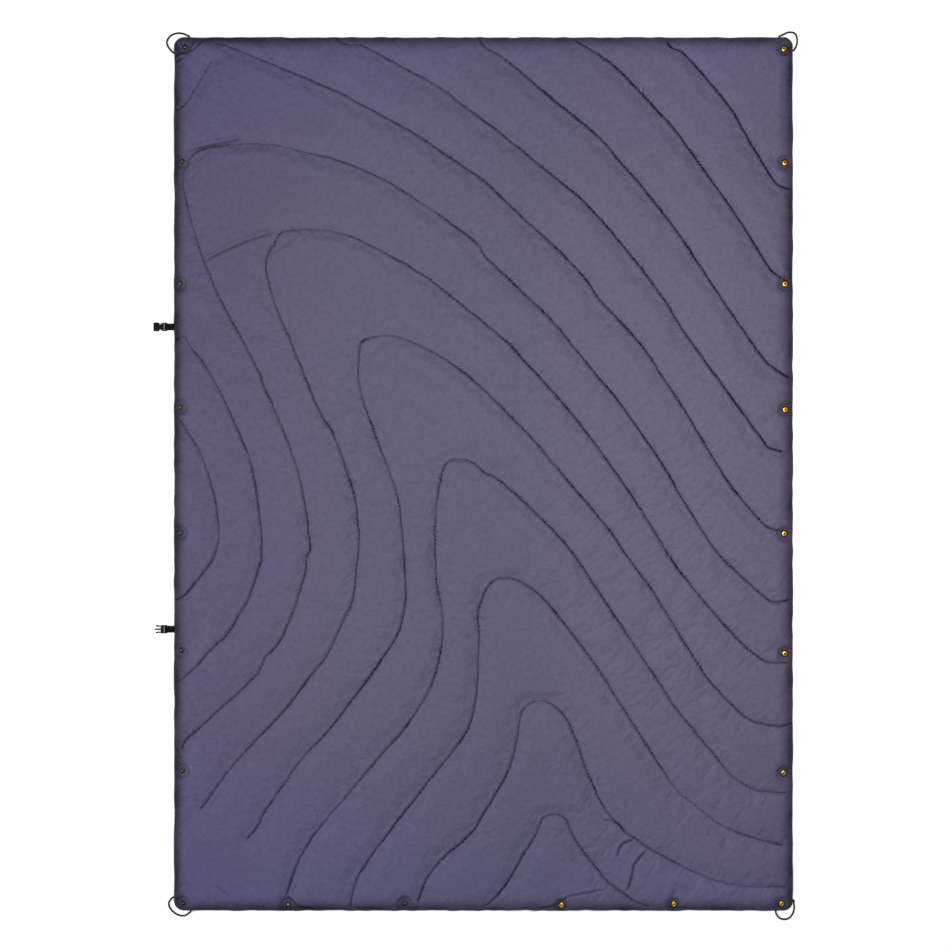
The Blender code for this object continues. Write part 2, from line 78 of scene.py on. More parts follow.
# Quilting seams, each from end to end, in metres on the flat blanket
SEAMS = {
    "head_right": (
        (0.405, 0.960), (0.417, 0.944), (0.448, 0.926), (0.539, 0.820), (0.575, 0.761),
        (0.634, 0.662), (0.654, 0.640), (0.681, 0.629),
    ),
    "second_right": (
        (0.195, 0.965), (0.290, 0.902), (0.412, 0.775), (0.457, 0.716), (0.548, 0.589),
        (0.593, 0.521), (0.629, 0.460), (0.652, 0.438), (0.672, 0.428),
    ),
    "third_right": (
        (-0.009, 0.963), (0.005, 0.944), (0.050, 0.917), (0.159, 0.825), (0.217, 0.779),
        (0.263, 0.739), (0.304, 0.689), (0.349, 0.639), (0.426, 0.540), (0.466, 0.481),
        (0.530, 0.384), (0.607, 0.273), (0.634, 0.241), (0.675, 0.214),
    ),
    "fourth_right": (
        (-0.332, 0.965), (-0.303, 0.951), (-0.266, 0.947), (-0.181, 0.902), (-0.090, 0.852),
        (-0.045, 0.816), (0.000, 0.784), (0.046, 0.748), (0.136, 0.675), (0.181, 0.639),
        (0.227, 0.598), (0.304, 0.512), (0.394, 0.395), (0.439, 0.322), (0.530, 0.196),
        (0.616, 0.078), (0.634, 0.058), (0.660, 0.050),
    ),
    "head_left_corner": (
        (-0.682, 0.804), (-0.660, 0.820), (-0.638, 0.852), (-0.620, 0.884), (-0.601, 0.915),
    ),
    "fifth_right": (
        (-0.590, 0.954), (-0.552, 0.942), (-0.457, 0.903), (-0.362, 0.863), (-0.316, 0.843),
        (-0.271, 0.818), (-0.226, 0.795), (-0.135, 0.743), (-0.086, 0.709), (0.000, 0.650),
        (0.046, 0.607), (0.091, 0.564), (0.181, 0.481), (0.227, 0.431), (0.258, 0.386),
        (0.349, 0.286), (0.394, 0.218), (0.439, 0.151), (0.530, 0.001), (0.575, -0.060),
        (0.620, -0.110), (0.640, -0.122), (0.661, -0.125),
    ),
    "outer_arch": (
        (0.679, -0.278), (0.647, -0.284), (0.620, -0.270), (0.530, -0.187), (0.484, -0.125),
        (0.439, -0.053), (0.394, 0.024), (0.304, 0.155), (0.258, 0.209), (0.159, 0.331),
        (0.104, 0.386), (0.005, 0.481), (-0.009, 0.506), (-0.045, 0.535), (-0.090, 0.569),
        (-0.181, 0.628), (-0.226, 0.655), (-0.316, 0.693), (-0.407, 0.715), (-0.439, 0.725),
        (-0.515, 0.732), (-0.597, 0.725), (-0.634, 0.714), (-0.656, 0.690), (-0.665, 0.657),
        (-0.662, 0.621), (-0.633, 0.512), (-0.601, 0.431), (-0.583, 0.388), (-0.502, 0.237),
        (-0.488, 0.200), (-0.466, 0.151), (-0.429, 0.060), (-0.402, -0.031), (-0.384, -0.153),
        (-0.391, -0.184), (-0.396, -0.225), (-0.425, -0.315), (-0.452, -0.373),
        (-0.484, -0.409), (-0.502, -0.445), (-0.574, -0.513), (-0.619, -0.554),
        (-0.656, -0.586), (-0.667, -0.606),
    ),
    "second_arch": (
        (0.672, -0.417), (0.638, -0.418), (0.611, -0.407), (0.546, -0.348), (0.439, -0.221),
        (0.394, -0.153), (0.349, -0.080), (0.258, 0.053), (0.227, 0.092), (0.181, 0.151),
        (0.091, 0.250), (0.046, 0.298), (-0.090, 0.408), (-0.135, 0.442), (-0.226, 0.494),
        (-0.290, 0.525), (-0.348, 0.540), (-0.407, 0.541), (-0.448, 0.535), (-0.459, 0.517),
        (-0.477, 0.485), (-0.482, 0.454), (-0.463, 0.381), (-0.429, 0.300), (-0.411, 0.255),
        (-0.362, 0.137), (-0.330, 0.083), (-0.289, -0.035), (-0.278, -0.103),
        (-0.276, -0.157), (-0.289, -0.275), (-0.310, -0.324), (-0.348, -0.405),
        (-0.380, -0.445), (-0.439, -0.522), (-0.529, -0.617), (-0.565, -0.658),
        (-0.597, -0.703), (-0.624, -0.740),
    ),
    "third_arch": (
        (0.679, -0.554), (0.656, -0.558), (0.620, -0.554), (0.584, -0.541), (0.512, -0.472),
        (0.476, -0.423), (0.412, -0.320), (0.367, -0.248), (0.313, -0.175), (0.272, -0.116),
        (0.181, -0.008), (0.136, 0.046), (0.091, 0.096), (0.000, 0.187), (-0.045, 0.225),
        (-0.090, 0.257), (-0.136, 0.282), (-0.181, 0.302), (-0.221, 0.307), (-0.253, 0.300),
        (-0.271, 0.288), (-0.276, 0.250), (-0.276, 0.205), (-0.262, 0.151), (-0.239, 0.087),
        (-0.194, -0.035), (-0.183, -0.098), (-0.178, -0.153), (-0.174, -0.212),
        (-0.172, -0.248), (-0.174, -0.293), (-0.187, -0.348), (-0.212, -0.391),
        (-0.249, -0.445), (-0.334, -0.558), (-0.407, -0.638), (-0.439, -0.685),
        (-0.479, -0.740), (-0.502, -0.785), (-0.522, -0.807),
    ),
    "fourth_arch": (
        (0.668, -0.706), (0.620, -0.703), (0.584, -0.692), (0.548, -0.667), (0.512, -0.622),
        (0.466, -0.568), (0.426, -0.518), (0.390, -0.464), (0.313, -0.348), (0.249, -0.252),
        (0.204, -0.184), (0.159, -0.130), (0.114, -0.085), (0.070, -0.044), (0.027, -0.008),
        (0.000, 0.004), (-0.027, 0.028), (-0.058, 0.031), (-0.081, 0.024), (-0.090, 0.006),
        (-0.099, -0.031), (-0.105, -0.089), (-0.107, -0.148), (-0.106, -0.202),
        (-0.101, -0.257), (-0.091, -0.302), (-0.090, -0.359), (-0.099, -0.414),
        (-0.115, -0.468), (-0.145, -0.522), (-0.181, -0.572), (-0.226, -0.622),
        (-0.317, -0.730), (-0.357, -0.776), (-0.380, -0.807), (-0.407, -0.853),
        (-0.425, -0.898), (-0.436, -0.930),
    ),
    "fifth_arch": (
        (0.662, -0.822), (0.620, -0.812), (0.575, -0.798), (0.530, -0.780), (0.493, -0.753),
        (0.453, -0.721), (0.417, -0.685), (0.317, -0.531), (0.254, -0.432), (0.190, -0.346),
        (0.136, -0.279), (0.104, -0.252), (0.073, -0.234), (0.046, -0.231), (0.023, -0.236),
        (0.005, -0.257), (-0.006, -0.284), (-0.013, -0.320), (-0.009, -0.348),
        (-0.011, -0.391), (-0.013, -0.459), (-0.020, -0.518), (-0.036, -0.568),
        (-0.067, -0.613), (-0.135, -0.699), (-0.226, -0.816), (-0.262, -0.866),
        (-0.280, -0.898), (-0.291, -0.934), (-0.294, -0.957),
    ),
    "sixth_arch": (
        (0.666, -0.915), (0.593, -0.914), (0.530, -0.905), (0.471, -0.884), (0.417, -0.857),
        (0.362, -0.825), (0.317, -0.794), (0.290, -0.767), (0.268, -0.740), (0.245, -0.694),
        (0.222, -0.640), (0.204, -0.586), (0.186, -0.545), (0.163, -0.518), (0.136, -0.504),
        (0.109, -0.506), (0.091, -0.520), (0.082, -0.536), (0.077, -0.572), (0.064, -0.631),
        (0.037, -0.694), (0.000, -0.753), (-0.018, -0.785), (-0.045, -0.812),
        (-0.095, -0.857), (-0.126, -0.898), (-0.144, -0.943),
    ),
    "foot_arch": (
        (0.367, -0.957), (0.344, -0.950), (0.317, -0.934), (0.285, -0.911), (0.263, -0.889),
        (0.217, -0.830), (0.195, -0.794), (0.181, -0.762), (0.159, -0.753), (0.136, -0.760),
        (0.127, -0.771), (0.114, -0.803), (0.091, -0.839), (0.068, -0.880), (0.041, -0.920),
        (0.014, -0.950), (-0.004, -0.961),
    ),
    "second_left": (
        (-0.662, 0.304), (-0.642, 0.273), (-0.619, 0.245), (-0.574, 0.164), (-0.522, 0.046),
        (-0.511, 0.006), (-0.502, -0.044), (-0.491, -0.135), (-0.491, -0.171),
        (-0.495, -0.202), (-0.520, -0.277), (-0.542, -0.315), (-0.567, -0.355),
        (-0.601, -0.387), (-0.637, -0.427), (-0.665, -0.452), (-0.679, -0.458),
    ),
    "inner_left": (
        (-0.679, 0.129), (-0.665, 0.110), (-0.642, 0.073), (-0.624, 0.042), (-0.599, -0.035),
        (-0.590, -0.080), (-0.586, -0.130), (-0.588, -0.153), (-0.597, -0.184),
        (-0.615, -0.211), (-0.638, -0.241), (-0.665, -0.270), (-0.682, -0.279),
    ),
}

# Creases where the cloth folds over itself: (route, width, depth)
FOLDS = (
    (((-0.662, 0.714), (-0.600, 0.727), (-0.525, 0.741)), 4.0, 2.6),
    (((-0.628, 0.464), (-0.570, 0.494), (-0.520, 0.515), (-0.450, 0.537)), 4.0, 2.6),
    (((-0.276, 0.288), (-0.262, 0.297), (-0.249, 0.300)), 3.0, 2.0),
    (((-0.683, 0.293), (-0.673, 0.302), (-0.662, 0.305)), 3.0, 1.5),
    (((-0.638, 0.961), (-0.658, 0.937), (-0.683, 0.928)), 3.0, 2.2),
    (((-0.617, 0.961), (-0.632, 0.948), (-0.649, 0.932)), 3.0, 2.0),
    (((-0.667, 0.921), (-0.680, 0.911)), 3.0, 1.6),
    (((0.294, -0.850), (0.307, -0.820), (0.340, -0.807)), 4.0, 3.0),
    (((0.317, -0.929), (0.328, -0.889), (0.335, -0.862), (0.365, -0.829)), 4.5, 3.4),
    (((0.258, -0.763), (0.294, -0.772), (0.316, -0.794)), 3.5, 2.0),
    (((0.114, -0.963), (0.163, -0.952), (0.194, -0.933), (0.280, -0.918)), 3.5, 2.0),
    (((-0.440, -0.929), (-0.407, -0.956), (-0.374, -0.962)), 3.5, 2.4),
    (((-0.593, -0.907), (-0.561, -0.933)), 4.0, 1.6),
)

# Spots where the stitching pulls the cloth in less: (x, y, reach, share)
FAINT = (
    (-0.50, 0.73, 0.10, 0.7), (-0.30, 0.53, 0.11, 0.6), (0.475, -0.735, 0.08, 0.9),
    (-0.62, 0.85, 0.06, 0.3), (-0.20, 0.30, 0.08, 0.3), (0.56, -0.91, 0.09, 0.4),
    (-0.40, -0.62, 0.10, 0.4), (-0.57, -0.68, 0.09, 0.5), (0.02, 0.93, 0.06, 0.5),
    (-0.31, 0.95, 0.06, 0.6), (-0.30, -0.75, 0.08, 0.4), (-0.54, 0.95, 0.05, 0.6),
)

# Shock cord loops: (corner, route from the corner), as in the frame
CORD_DIAMETER = 0.0040
CORD_EXIT_HEIGHT = 0.0036
CORD_LOW = 0.0022
CORD_END_GAP = 0.0026
CORD_TUCK = 2.2 * MM
BRAID_PITCH = 0.0085
BRAID_STRANDS = 4
LOOP_ROUTES = {
    "loop_head_left": (
        (-WIDTH / 2, LENGTH / 2),
        (
            (0.0325, 0.0), (0.0290, 0.0045), (0.0200, 0.0085), (0.0080, 0.0100),
            (-0.0050, 0.0065), (-0.0135, -0.0010), (-0.0170, -0.0100), (-0.0145, -0.0195),
            (-0.0085, -0.0275), (0.0, -0.0335),
        ),
    ),
    "loop_head_right": (
        (WIDTH / 2, LENGTH / 2),
        (
            (-0.0290, 0.0), (-0.0210, 0.0065), (-0.0120, 0.0110), (-0.0045, 0.0120),
            (0.0035, 0.0105), (0.0085, 0.0050), (0.0105, -0.0030), (0.0105, -0.0100),
            (0.0090, -0.0175), (0.0055, -0.0245), (0.0, -0.0285),
        ),
    ),
    "loop_foot_left": (
        (-WIDTH / 2, -LENGTH / 2),
        (
            (0.0, 0.0295), (-0.0080, 0.0250), (-0.0125, 0.0175), (-0.0125, 0.0110),
            (-0.0095, 0.0045), (-0.0035, -0.0030), (0.0055, -0.0090), (0.0160, -0.0120),
            (0.0240, -0.0110), (0.0310, -0.0065), (0.0355, 0.0),
        ),
    ),
    "loop_foot_right": (
        (WIDTH / 2, -LENGTH / 2),
        (
            (0.0, 0.0225), (0.0030, 0.0160), (0.0040, 0.0080), (0.0030, -0.0010),
            (-0.0005, -0.0095), (-0.0060, -0.0160), (-0.0135, -0.0195), (-0.0215, -0.0195),
            (-0.0285, -0.0170), (-0.0335, -0.0115), (-0.0365, -0.0060), (-0.0370, 0.0),
        ),
    ),
}


class BlanketSizes(bpy.types.PropertyGroup):
    """Sizes of the blanket's cloth and stitching."""

    loft: bpy.props.FloatProperty(
        name="Loft", description="Height that the widest channels fill to, above the seams",
        default=0.0062, unit="LENGTH",
    )
    swell: bpy.props.FloatProperty(
        name="Swell", description="How steeply the cloth rises from a seam", default=0.22,
    )
    seam_height: bpy.props.FloatProperty(
        name="Seam height", description="Height of the seams over the ground",
        default=0.0105, unit="LENGTH",
    )
    slack: bpy.props.FloatProperty(
        name="Slack", description="Share of spare cloth between the seams", default=0.015,
    )
    grid: bpy.props.FloatProperty(
        name="Grid", description="Spacing of the finished cloth's grid",
        default=0.0024, unit="LENGTH",
    )
    slack_grid: bpy.props.FloatProperty(
        name="Slack grid", description="Spacing of the cloth's grid while it settles",
        default=0.0058, unit="LENGTH",
    )
    stitch: bpy.props.FloatProperty(
        name="Stitch", description="Pitch of the quilting stitches",
        default=0.0042, unit="LENGTH",
    )


class BlanketColours(bpy.types.PropertyGroup):
    """Colours of the blanket's materials."""

    shell: bpy.props.FloatVectorProperty(
        name="Shell", description="Nylon of the top side", subtype="COLOR",
        default=(0.098, 0.087, 0.146),
    )
    lining: bpy.props.FloatVectorProperty(
        name="Lining", description="Nylon of the underside", subtype="COLOR",
        default=(0.080, 0.074, 0.120),
    )
    thread: bpy.props.FloatVectorProperty(
        name="Thread", description="Quilting thread", subtype="COLOR",
        default=(0.042, 0.038, 0.060),
    )
    black: bpy.props.FloatVectorProperty(
        name="Black", description="Webbing, cord and buckle", subtype="COLOR",
        default=(0.005, 0.005, 0.0055),
    )
    brass: bpy.props.FloatVectorProperty(
        name="Brass", description="Snap studs", subtype="COLOR",
        default=(0.66, 0.34, 0.06),
    )
    dark_metal: bpy.props.FloatVectorProperty(
        name="Dark metal", description="Snap sockets", subtype="COLOR",
        default=(0.050, 0.052, 0.042),
    )


def sizes():
    return bpy.context.scene.blanket_sizes


def colours():
    return bpy.context.scene.blanket_colours


# ---------------------------------------------------------------- materials


def new_material(name, roughness=0.5, metallic=0.0):
    """A material with a Principled shader, and that shader."""
    material = bpy.data.materials.new(name)
    material.use_nodes = True
    shader = material.node_tree.nodes["Principled BSDF"]
    shader.inputs["Roughness"].default_value = roughness
    shader.inputs["Metallic"].default_value = metallic
    return material, shader


def add_node(material, kind, links=(), **settings):
    """Adds a shader node: settings are its inputs by name, or its own values."""
    node = material.node_tree.nodes.new(kind)
    for name, value in settings.items():
        socket = node.inputs.get(name.replace("_", " ").title())
        if socket is not None:
            socket.default_value = value
        else:
            setattr(node, name, value)
    for source, target in links:
        material.node_tree.links.new(source, node.inputs[target])
    return node


def link(material, source, target):
    material.node_tree.links.new(source, target)


def object_place(material, stretch=(1, 1, 1)):
    """Object coordinates, each axis scaled by its stretch."""
    where = add_node(material, "ShaderNodeTexCoord").outputs["Object"]
    if stretch == (1, 1, 1):
        return where
    return add_node(
        material, "ShaderNodeMapping", [(where, "Vector")], scale=stretch
    ).outputs["Vector"]


def noise(material, where, scale, detail=2.0, roughness=0.5):
    return add_node(
        material, "ShaderNodeTexNoise", [(where, "Vector")],
        scale=scale, detail=detail, roughness=roughness,
    ).outputs[0]


def mixed_colour(material, factor, low, high, start=0.3, end=0.7):
    ramp = add_node(material, "ShaderNodeValToRGB", [(factor, "Fac")])
    ramp.color_ramp.elements[0].color = (*low, 1)
    ramp.color_ramp.elements[1].color = (*high, 1)
    ramp.color_ramp.elements[0].position = start
    ramp.color_ramp.elements[1].position = end
    return ramp.outputs[0]


def shade(colour, factor):
    return tuple(min(1.0, part * factor) for part in colour)


def bumped(material, shader, height, distance, strength=1.0):
    bump = add_node(
        material, "ShaderNodeBump", [(height, "Height")], strength=strength, distance=distance
    )
    link(material, bump.outputs[0], shader.inputs["Normal"])


def combined(material, operation, first, second=None, third=None):
    """A Math node; each operand is a socket or a number."""
    node = add_node(material, "ShaderNodeMath", operation=operation)
    for slot, operand in zip(node.inputs, (first, second, third)):
        if isinstance(operand, (int, float)):
            slot.default_value = operand
        elif operand is not None:
            link(material, operand, slot)
    return node.outputs[0]


def added(material, base, extra, weight):
    return combined(material, "MULTIPLY_ADD", extra, weight, base)


def tinted(material, colour, tint):
    """One colour multiplied by another."""
    mix = add_node(material, "ShaderNodeMix", data_type="RGBA", blend_type="MULTIPLY")
    mix.inputs[0].default_value = 1.0
    link(material, colour, mix.inputs[6])
    link(material, tint, mix.inputs[7])
    return mix.outputs[2]


def darkened(material, colour, share):
    """The colour with this share of it taken away."""
    kept = combined(material, "SUBTRACT", 1.0, share)
    kept = combined(material, "MAXIMUM", kept, 0.1)
    scaled = add_node(
        material, "ShaderNodeVectorMath", [(colour, 0), (kept, "Scale")], operation="SCALE"
    )
    return scaled.outputs[0]


def mapped(material, value, low=0.0, high=1.0, to=(0.0, 1.0), **settings):
    """The value, with low and high taken to the two ends of another range."""
    node = add_node(material, "ShaderNodeMapRange", [(value, "Value")], **settings)
    limits = {"From Min": low, "From Max": high, "To Min": to[0], "To Max": to[1]}
    for name, limit in limits.items():
        node.inputs[name].default_value = limit
    return node.outputs[0]


def parts_of(material, vector):
    """A vector's X, Y and Z, by name."""
    return add_node(material, "ShaderNodeSeparateXYZ", [(vector, "Vector")]).outputs


def attribute(material, name):
    return add_node(material, "ShaderNodeAttribute", attribute_name=name).outputs["Vector"]


def across_blanket(material, axis, stops):
    """Painted light and shade that change along one axis of the blanket: (place, colour) stops.
    """
    where = parts_of(material, object_place(material))[axis]
    half = (WIDTH, LENGTH)["XY".index(axis)] / 2
    ramp = add_node(
        material, "ShaderNodeValToRGB", [(mapped(material, where, -half, half), "Fac")]
    )
    points = ramp.color_ramp.elements
    while len(points) < len(stops):
        points.new(0.5)
    for point, (place, colour) in zip(points, stops):
        point.position = place
        point.color = (*colour, 1)
    return ramp.outputs[0]


# How much of its colour the cloth loses to painted shade in a seam, at the hem, in a fold and
# in a crease
SEAM_PAINTED_SHADE = 0.62
HEM_PAINTED_SHADE = 0.60
FOLD_PAINTED_SHADE = 0.65
CREASE_PAINTED_SHADE = 0.30
SEAM_LINE_WIDTH = 2.6 * MM
CLOTH_BUMP = 1.2 * MM
CLOTH_SPECULAR = 0.11
PLASTIC_SPECULAR = 0.12
WEBBING_SPECULAR = 0.08

# Painted light and shade from left to right and from foot to head: (place, colour)
SIDE_PAINTED_LIGHT = (
    (0.0, (0.93, 0.87, 0.99)), (0.30, (0.99, 0.98, 1.0)), (0.55, (0.97, 0.97, 0.97)),
    (0.86, (1.14, 1.06, 1.07)), (1.0, (1.08, 0.98, 1.0)),
)
END_PAINTED_LIGHT = (
    (0.0, (0.90, 0.96, 1.12)), (0.22, (1.0, 1.0, 1.02)), (0.8, (1.0, 1.0, 1.0)),
    (1.0, (0.98, 0.99, 1.12)),
)


def seam_shadow(material, off_seam):
    """Painted seam shade: one on the seam's line and nothing beside it, with a ragged border.
    """
    ragged = noise(material, object_place(material), 130.0, 3.0)
    ragged = combined(material, "MULTIPLY_ADD", ragged, 1.3, 0.35)
    off_seam = combined(material, "MULTIPLY", combined(material, "ABSOLUTE", off_seam), ragged)
    return mapped(material, off_seam, SEAM_LINE_WIDTH, 0.0, interpolation_type="SMOOTHSTEP")


def gathered_creases(material, seam, off_seam, gather):
    """Sharp creases that run off the seams, each leaning its own way; they bump the cloth and
    carry painted shade.
    """
    squeezed = add_node(
        material, "ShaderNodeMapping", [(seam, "Vector")], scale=(1.0, 0.3, 0.0)
    ).outputs["Vector"]
    bent = noise(material, object_place(material), 40.0, 2.0)
    turn = noise(material, object_place(material), 9.0, 1.0)
    lean = combined(material, "MULTIPLY_ADD", turn, 6.0, -3.0)
    lean = combined(material, "MULTIPLY", lean, off_seam)
    shift = add_node(material, "ShaderNodeCombineXYZ")
    link(material, added(material, lean, bent, 0.02), shift.inputs[0])
    offset = add_node(
        material, "ShaderNodeVectorMath", [(squeezed, 0), (shift.outputs[0], 1)],
        operation="ADD",
    )
    creases = add_node(
        material, "ShaderNodeTexNoise", [(offset.outputs[0], "Vector")],
        noise_type="RIDGED_MULTIFRACTAL", scale=105.0, detail=1.0, roughness=0.5,
        offset=1.0, gain=1.0,
    ).outputs[0]
    return combined(material, "MULTIPLY", mapped(material, creases, 0.95, 1.45), gather)


def cloth_material(name, colour):
    """Plain-woven nylon: fine threads, random mottling, painted light and shade across the
    blanket, and painted shade in the seams, creases and folds and at the hem.
    """
    material, shader = new_material(name, roughness=0.6)
    threads = noise(material, object_place(material, (0.16, 1, 1)), 620.0, 2.0, 0.6)
    crossing = noise(material, object_place(material, (1, 0.2, 1)), 700.0, 1.0, 0.5)
    crinkle = noise(material, object_place(material), 85.0, 4.0, 0.6)
    mottle = added(material, crinkle, threads, 0.8)
    tint = mixed_colour(material, mottle, shade(colour, 0.90), shade(colour, 1.10), 0.6, 1.2)
    # Painted light and shade: darker and bluer on the left, brighter right of the middle, bluer
    # at both ends.
    tint = tinted(material, tint, across_blanket(material, "X", SIDE_PAINTED_LIGHT))
    tint = tinted(material, tint, across_blanket(material, "Y", END_PAINTED_LIGHT))

    # Painted shade: the seam line, the hem, the folds and the creases each take a share of the
    # cloth's colour away.
    seam = attribute(material, "seam")
    place = parts_of(material, seam)
    tightness, hem, fold = parts_of(material, attribute(material, "dark"))
    creases = gathered_creases(material, seam, place["Y"], place["Z"])
    deep = combined(material, "MULTIPLY", seam_shadow(material, place["Y"]), tightness)
    painted_shade = combined(material, "MULTIPLY", deep, SEAM_PAINTED_SHADE)
    # Painted shade at the hem, in the folds and along the gathered creases.
    for mark, weight in ((hem, HEM_PAINTED_SHADE), (fold, FOLD_PAINTED_SHADE), (creases, CREASE_PAINTED_SHADE)):
        painted_shade = added(material, painted_shade, mark, weight)
    link(material, darkened(material, tint, painted_shade), shader.inputs["Base Color"])

    height = combined(material, "MULTIPLY", creases, -1.0)
    for grain, weight in ((crinkle, 0.35), (threads, 0.10), (crossing, 0.05)):
        height = added(material, height, grain, weight)
    bumped(material, shader, height, CLOTH_BUMP, 0.75)
    shader.inputs["Specular IOR Level"].default_value = CLOTH_SPECULAR
    return material


def worn_material(name, colour, roughness, metallic, scale, distance):
    """Moulded plastic or plated metal with a fine grain and uneven gloss."""
    material, shader = new_material(name, roughness, metallic)
    where = object_place(material)
    grain = noise(material, where, scale, 3.0, 0.6)
    tint = mixed_colour(material, grain, shade(colour, 0.8), shade(colour, 1.25))
    link(material, tint, shader.inputs["Base Color"])
    cloud = noise(material, where, scale / 6, 2.0)
    gloss = mapped(material, cloud, to=(roughness * 0.75, roughness * 1.3))
    link(material, gloss, shader.inputs["Roughness"])
    bumped(material, shader, grain, distance, 0.4)
    if not metallic:
        shader.inputs["Specular IOR Level"].default_value = PLASTIC_SPECULAR
    return material


def woven_material(name, colour):
    """Webbing: ribs across it and a zigzag of yarns, from its own UV map."""
    material, shader = new_material(name, roughness=0.75)
    where = add_node(material, "ShaderNodeUVMap", uv_map="weave").outputs["UV"]
    ribs = add_node(
        material, "ShaderNodeTexWave", [(where, "Vector")], scale=1 / (20 * 1.3 * MM),
        bands_direction="X", distortion=0.4, detail=0.0,
    ).outputs["Fac"]
    yarns = add_node(
        material, "ShaderNodeTexWave", [(where, "Vector")], scale=1 / (20 * 1.0 * MM),
        bands_direction="Y", distortion=0.8, detail=1.0,
    ).outputs["Fac"]
    height = combined(material, "MULTIPLY", ribs, yarns)
    tint = mixed_colour(material, height, shade(colour, 0.5), shade(colour, 1.6), 0.1, 0.9)
    link(material, tint, shader.inputs["Base Color"])
    bumped(material, shader, height, 0.35 * MM, 0.8)
    shader.inputs["Specular IOR Level"].default_value = WEBBING_SPECULAR
    return material


# ---------------------------------------------------------------- shared shapes


def linked_object(name, data):
    """A new object, linked to the scene."""
    made = bpy.data.objects.new(name, data)
    bpy.context.scene.collection.objects.link(made)
    return made


def place_object(name, mesh, body, *materials):
    """A new piece with its materials, riding on a body of the frame."""
    piece = linked_object(name, mesh)
    for material in materials:
        mesh.materials.append(material)
    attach(piece, body)
    return piece


def kept_mesh(name, mesh, smooth=True):
    for face in mesh.faces:
        face.smooth = smooth
    data = bpy.data.meshes.new(name)
    mesh.to_mesh(data)
    mesh.free()
    return data


def smooth_line(route, spacing):
    """Evenly spaced points of a Catmull-Rom curve through the route's points."""
    points = np.array(route, float)
    ends = np.vstack([2 * points[0] - points[1], points, 2 * points[-1] - points[-2]])
    t = np.linspace(0, 1, 40, endpoint=False)[:, None]
    fine = []
    for a, b, c, d in zip(ends, ends[1:], ends[2:], ends[3:]):
        cubic = (3 * b - a - 3 * c + d) * t**3
        fine.append(0.5 * (2 * b + (c - a) * t + (2 * a - 5 * b + 4 * c - d) * t**2 + cubic))
    fine = np.vstack([*fine, points[-1:]])
    lengths = along_line(fine)
    count = max(2, round(lengths[-1] / spacing))
    at = np.linspace(0, lengths[-1], count + 1)
    return np.stack([np.interp(at, lengths, fine[:, k]) for k in range(fine.shape[1])], 1)


def along_line(line):
    return np.concatenate([[0], np.cumsum(np.linalg.norm(np.diff(line, axis=0), axis=1))])


def headings(line):
    heading = np.gradient(line, axis=0)
    return heading / np.linalg.norm(heading, axis=1)[:, None]


def smoothstep(value):
    value = np.clip(value, 0, 1)
    return value * value * (3 - 2 * value)


def middle_of(node):
    """X and Y of the middle of a frame node."""
    low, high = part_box(node)
    return ((low.x + high.x) / 2, (low.y + high.y) / 2)


# ---------------------------------------------------------------- the quilt

# Spacing of a seam's points, how far the sewn line wanders and over how many points
SEAM_SPACING = 1.2 * MM
SEAM_WANDER = 0.55 * MM
WANDER_POINTS = 9
WANDER_BLUR = 7

# How wide and how deep the stitches pinch the top shell, and draw up the lining
PINCH = 2.0 * MM
PINCH_DEPTH = 2.2 * MM
LINING_DROP = 2.2 * MM
GATHER_REACH = 0.026
PUCKER_GAP = 8 * MM

# The cloth is flat this far round a snap and slopes up over this width
SNAP_COUNT = 10
SNAP_HOLD = 8.5 * MM
SNAP_SLOPE = 13 * MM

# The cloth beside a tab: its height, how far in its middle is, its radius and slope
TAB_CLEARANCE = 10 * MM
TAB_LOW_INSET = 0.020
TAB_LOW_RADIUS = 0.030
TAB_LOW_SLOPE = 0.045

# Widths over which the cloth rounds down, fills, tightens and wavers at the edge
EDGE_ROUNDING = 0.05
EDGE_FILL = 0.04
EDGE_TIGHT = 0.02
EDGE_WAVER = 0.03
EDGE_WAVES = (23, 41, 67, 97, 143)
HEM_SHADE = 0.018
HEM_GATHER = 0.016
HEM_ROLL = 0.7 * MM

FOLD_DEPTH = 1.6
SETTLE_FRAMES = 15
FARTHEST_MOVE = 0.004
GROUND_GAP = 0.3 * MM


def flat_grid(step):
    """X and Y of a grid over the flat blanket; a row runs along X."""
    columns = 2 * round(WIDTH / step / 2)
    rows = 2 * round(LENGTH / step / 2)
    return np.meshgrid(
        np.linspace(-WIDTH / 2, WIDTH / 2, columns + 1),
        np.linspace(-LENGTH / 2, LENGTH / 2, rows + 1),
    )


def resample(field, shape):
    """A smooth copy of a grid of values at another fineness."""
    for axis, count in enumerate(shape):
        at = np.linspace(0, field.shape[axis] - 1, count)
        k = np.clip(at.astype(int), 0, field.shape[axis] - 2)
        t = at - k
        t = t[:, None] if axis == 0 else t[None, :]
        padded = np.concatenate(
            [field.take([0], axis), field, field.take([-1], axis)], axis
        )
        a, b, c, d = (padded.take(k + n, axis) for n in range(4))
        field = 0.5 * (
            2 * b + (c - a) * t + (2 * a - 5 * b + 4 * c - d) * t**2
            + (3 * b - a - 3 * c + d) * t**3
        )
    return field


def uneven(shape, wave, seed):
    """Smooth random heights, about one high, that change over one wave."""
    coarse = (round(LENGTH / wave) + 2, round(WIDTH / wave) + 2)
    return resample(np.random.default_rng(seed).normal(0, 1, coarse), shape)


def seam_lines():
    """The seams, evenly spaced, with the small wander of a sewn line."""
    chance = np.random.default_rng(2)
    lines = []
    for route in SEAMS.values():
        line = smooth_line(route, SEAM_SPACING)
        heading = headings(line)
        coarse = chance.normal(0, SEAM_WANDER, len(line) // WANDER_POINTS + 3)
        at = np.arange(len(line)) / WANDER_POINTS
        wander = np.interp(at, np.arange(len(coarse)), coarse)
        wander = np.convolve(wander, np.ones(WANDER_BLUR) / WANDER_BLUR, "same")
        line[:, 0] -= heading[:, 1] * wander
        line[:, 1] += heading[:, 0] * wander
        lines.append(line)
    return lines


def snap_places():
    """The middle of every snap, from the frame."""
    numbers = range(1, SNAP_COUNT + 1)
    return np.array([
        middle_of(f"snap_{kind}_{number}") for kind in ("socket", "stud") for number in numbers
    ])


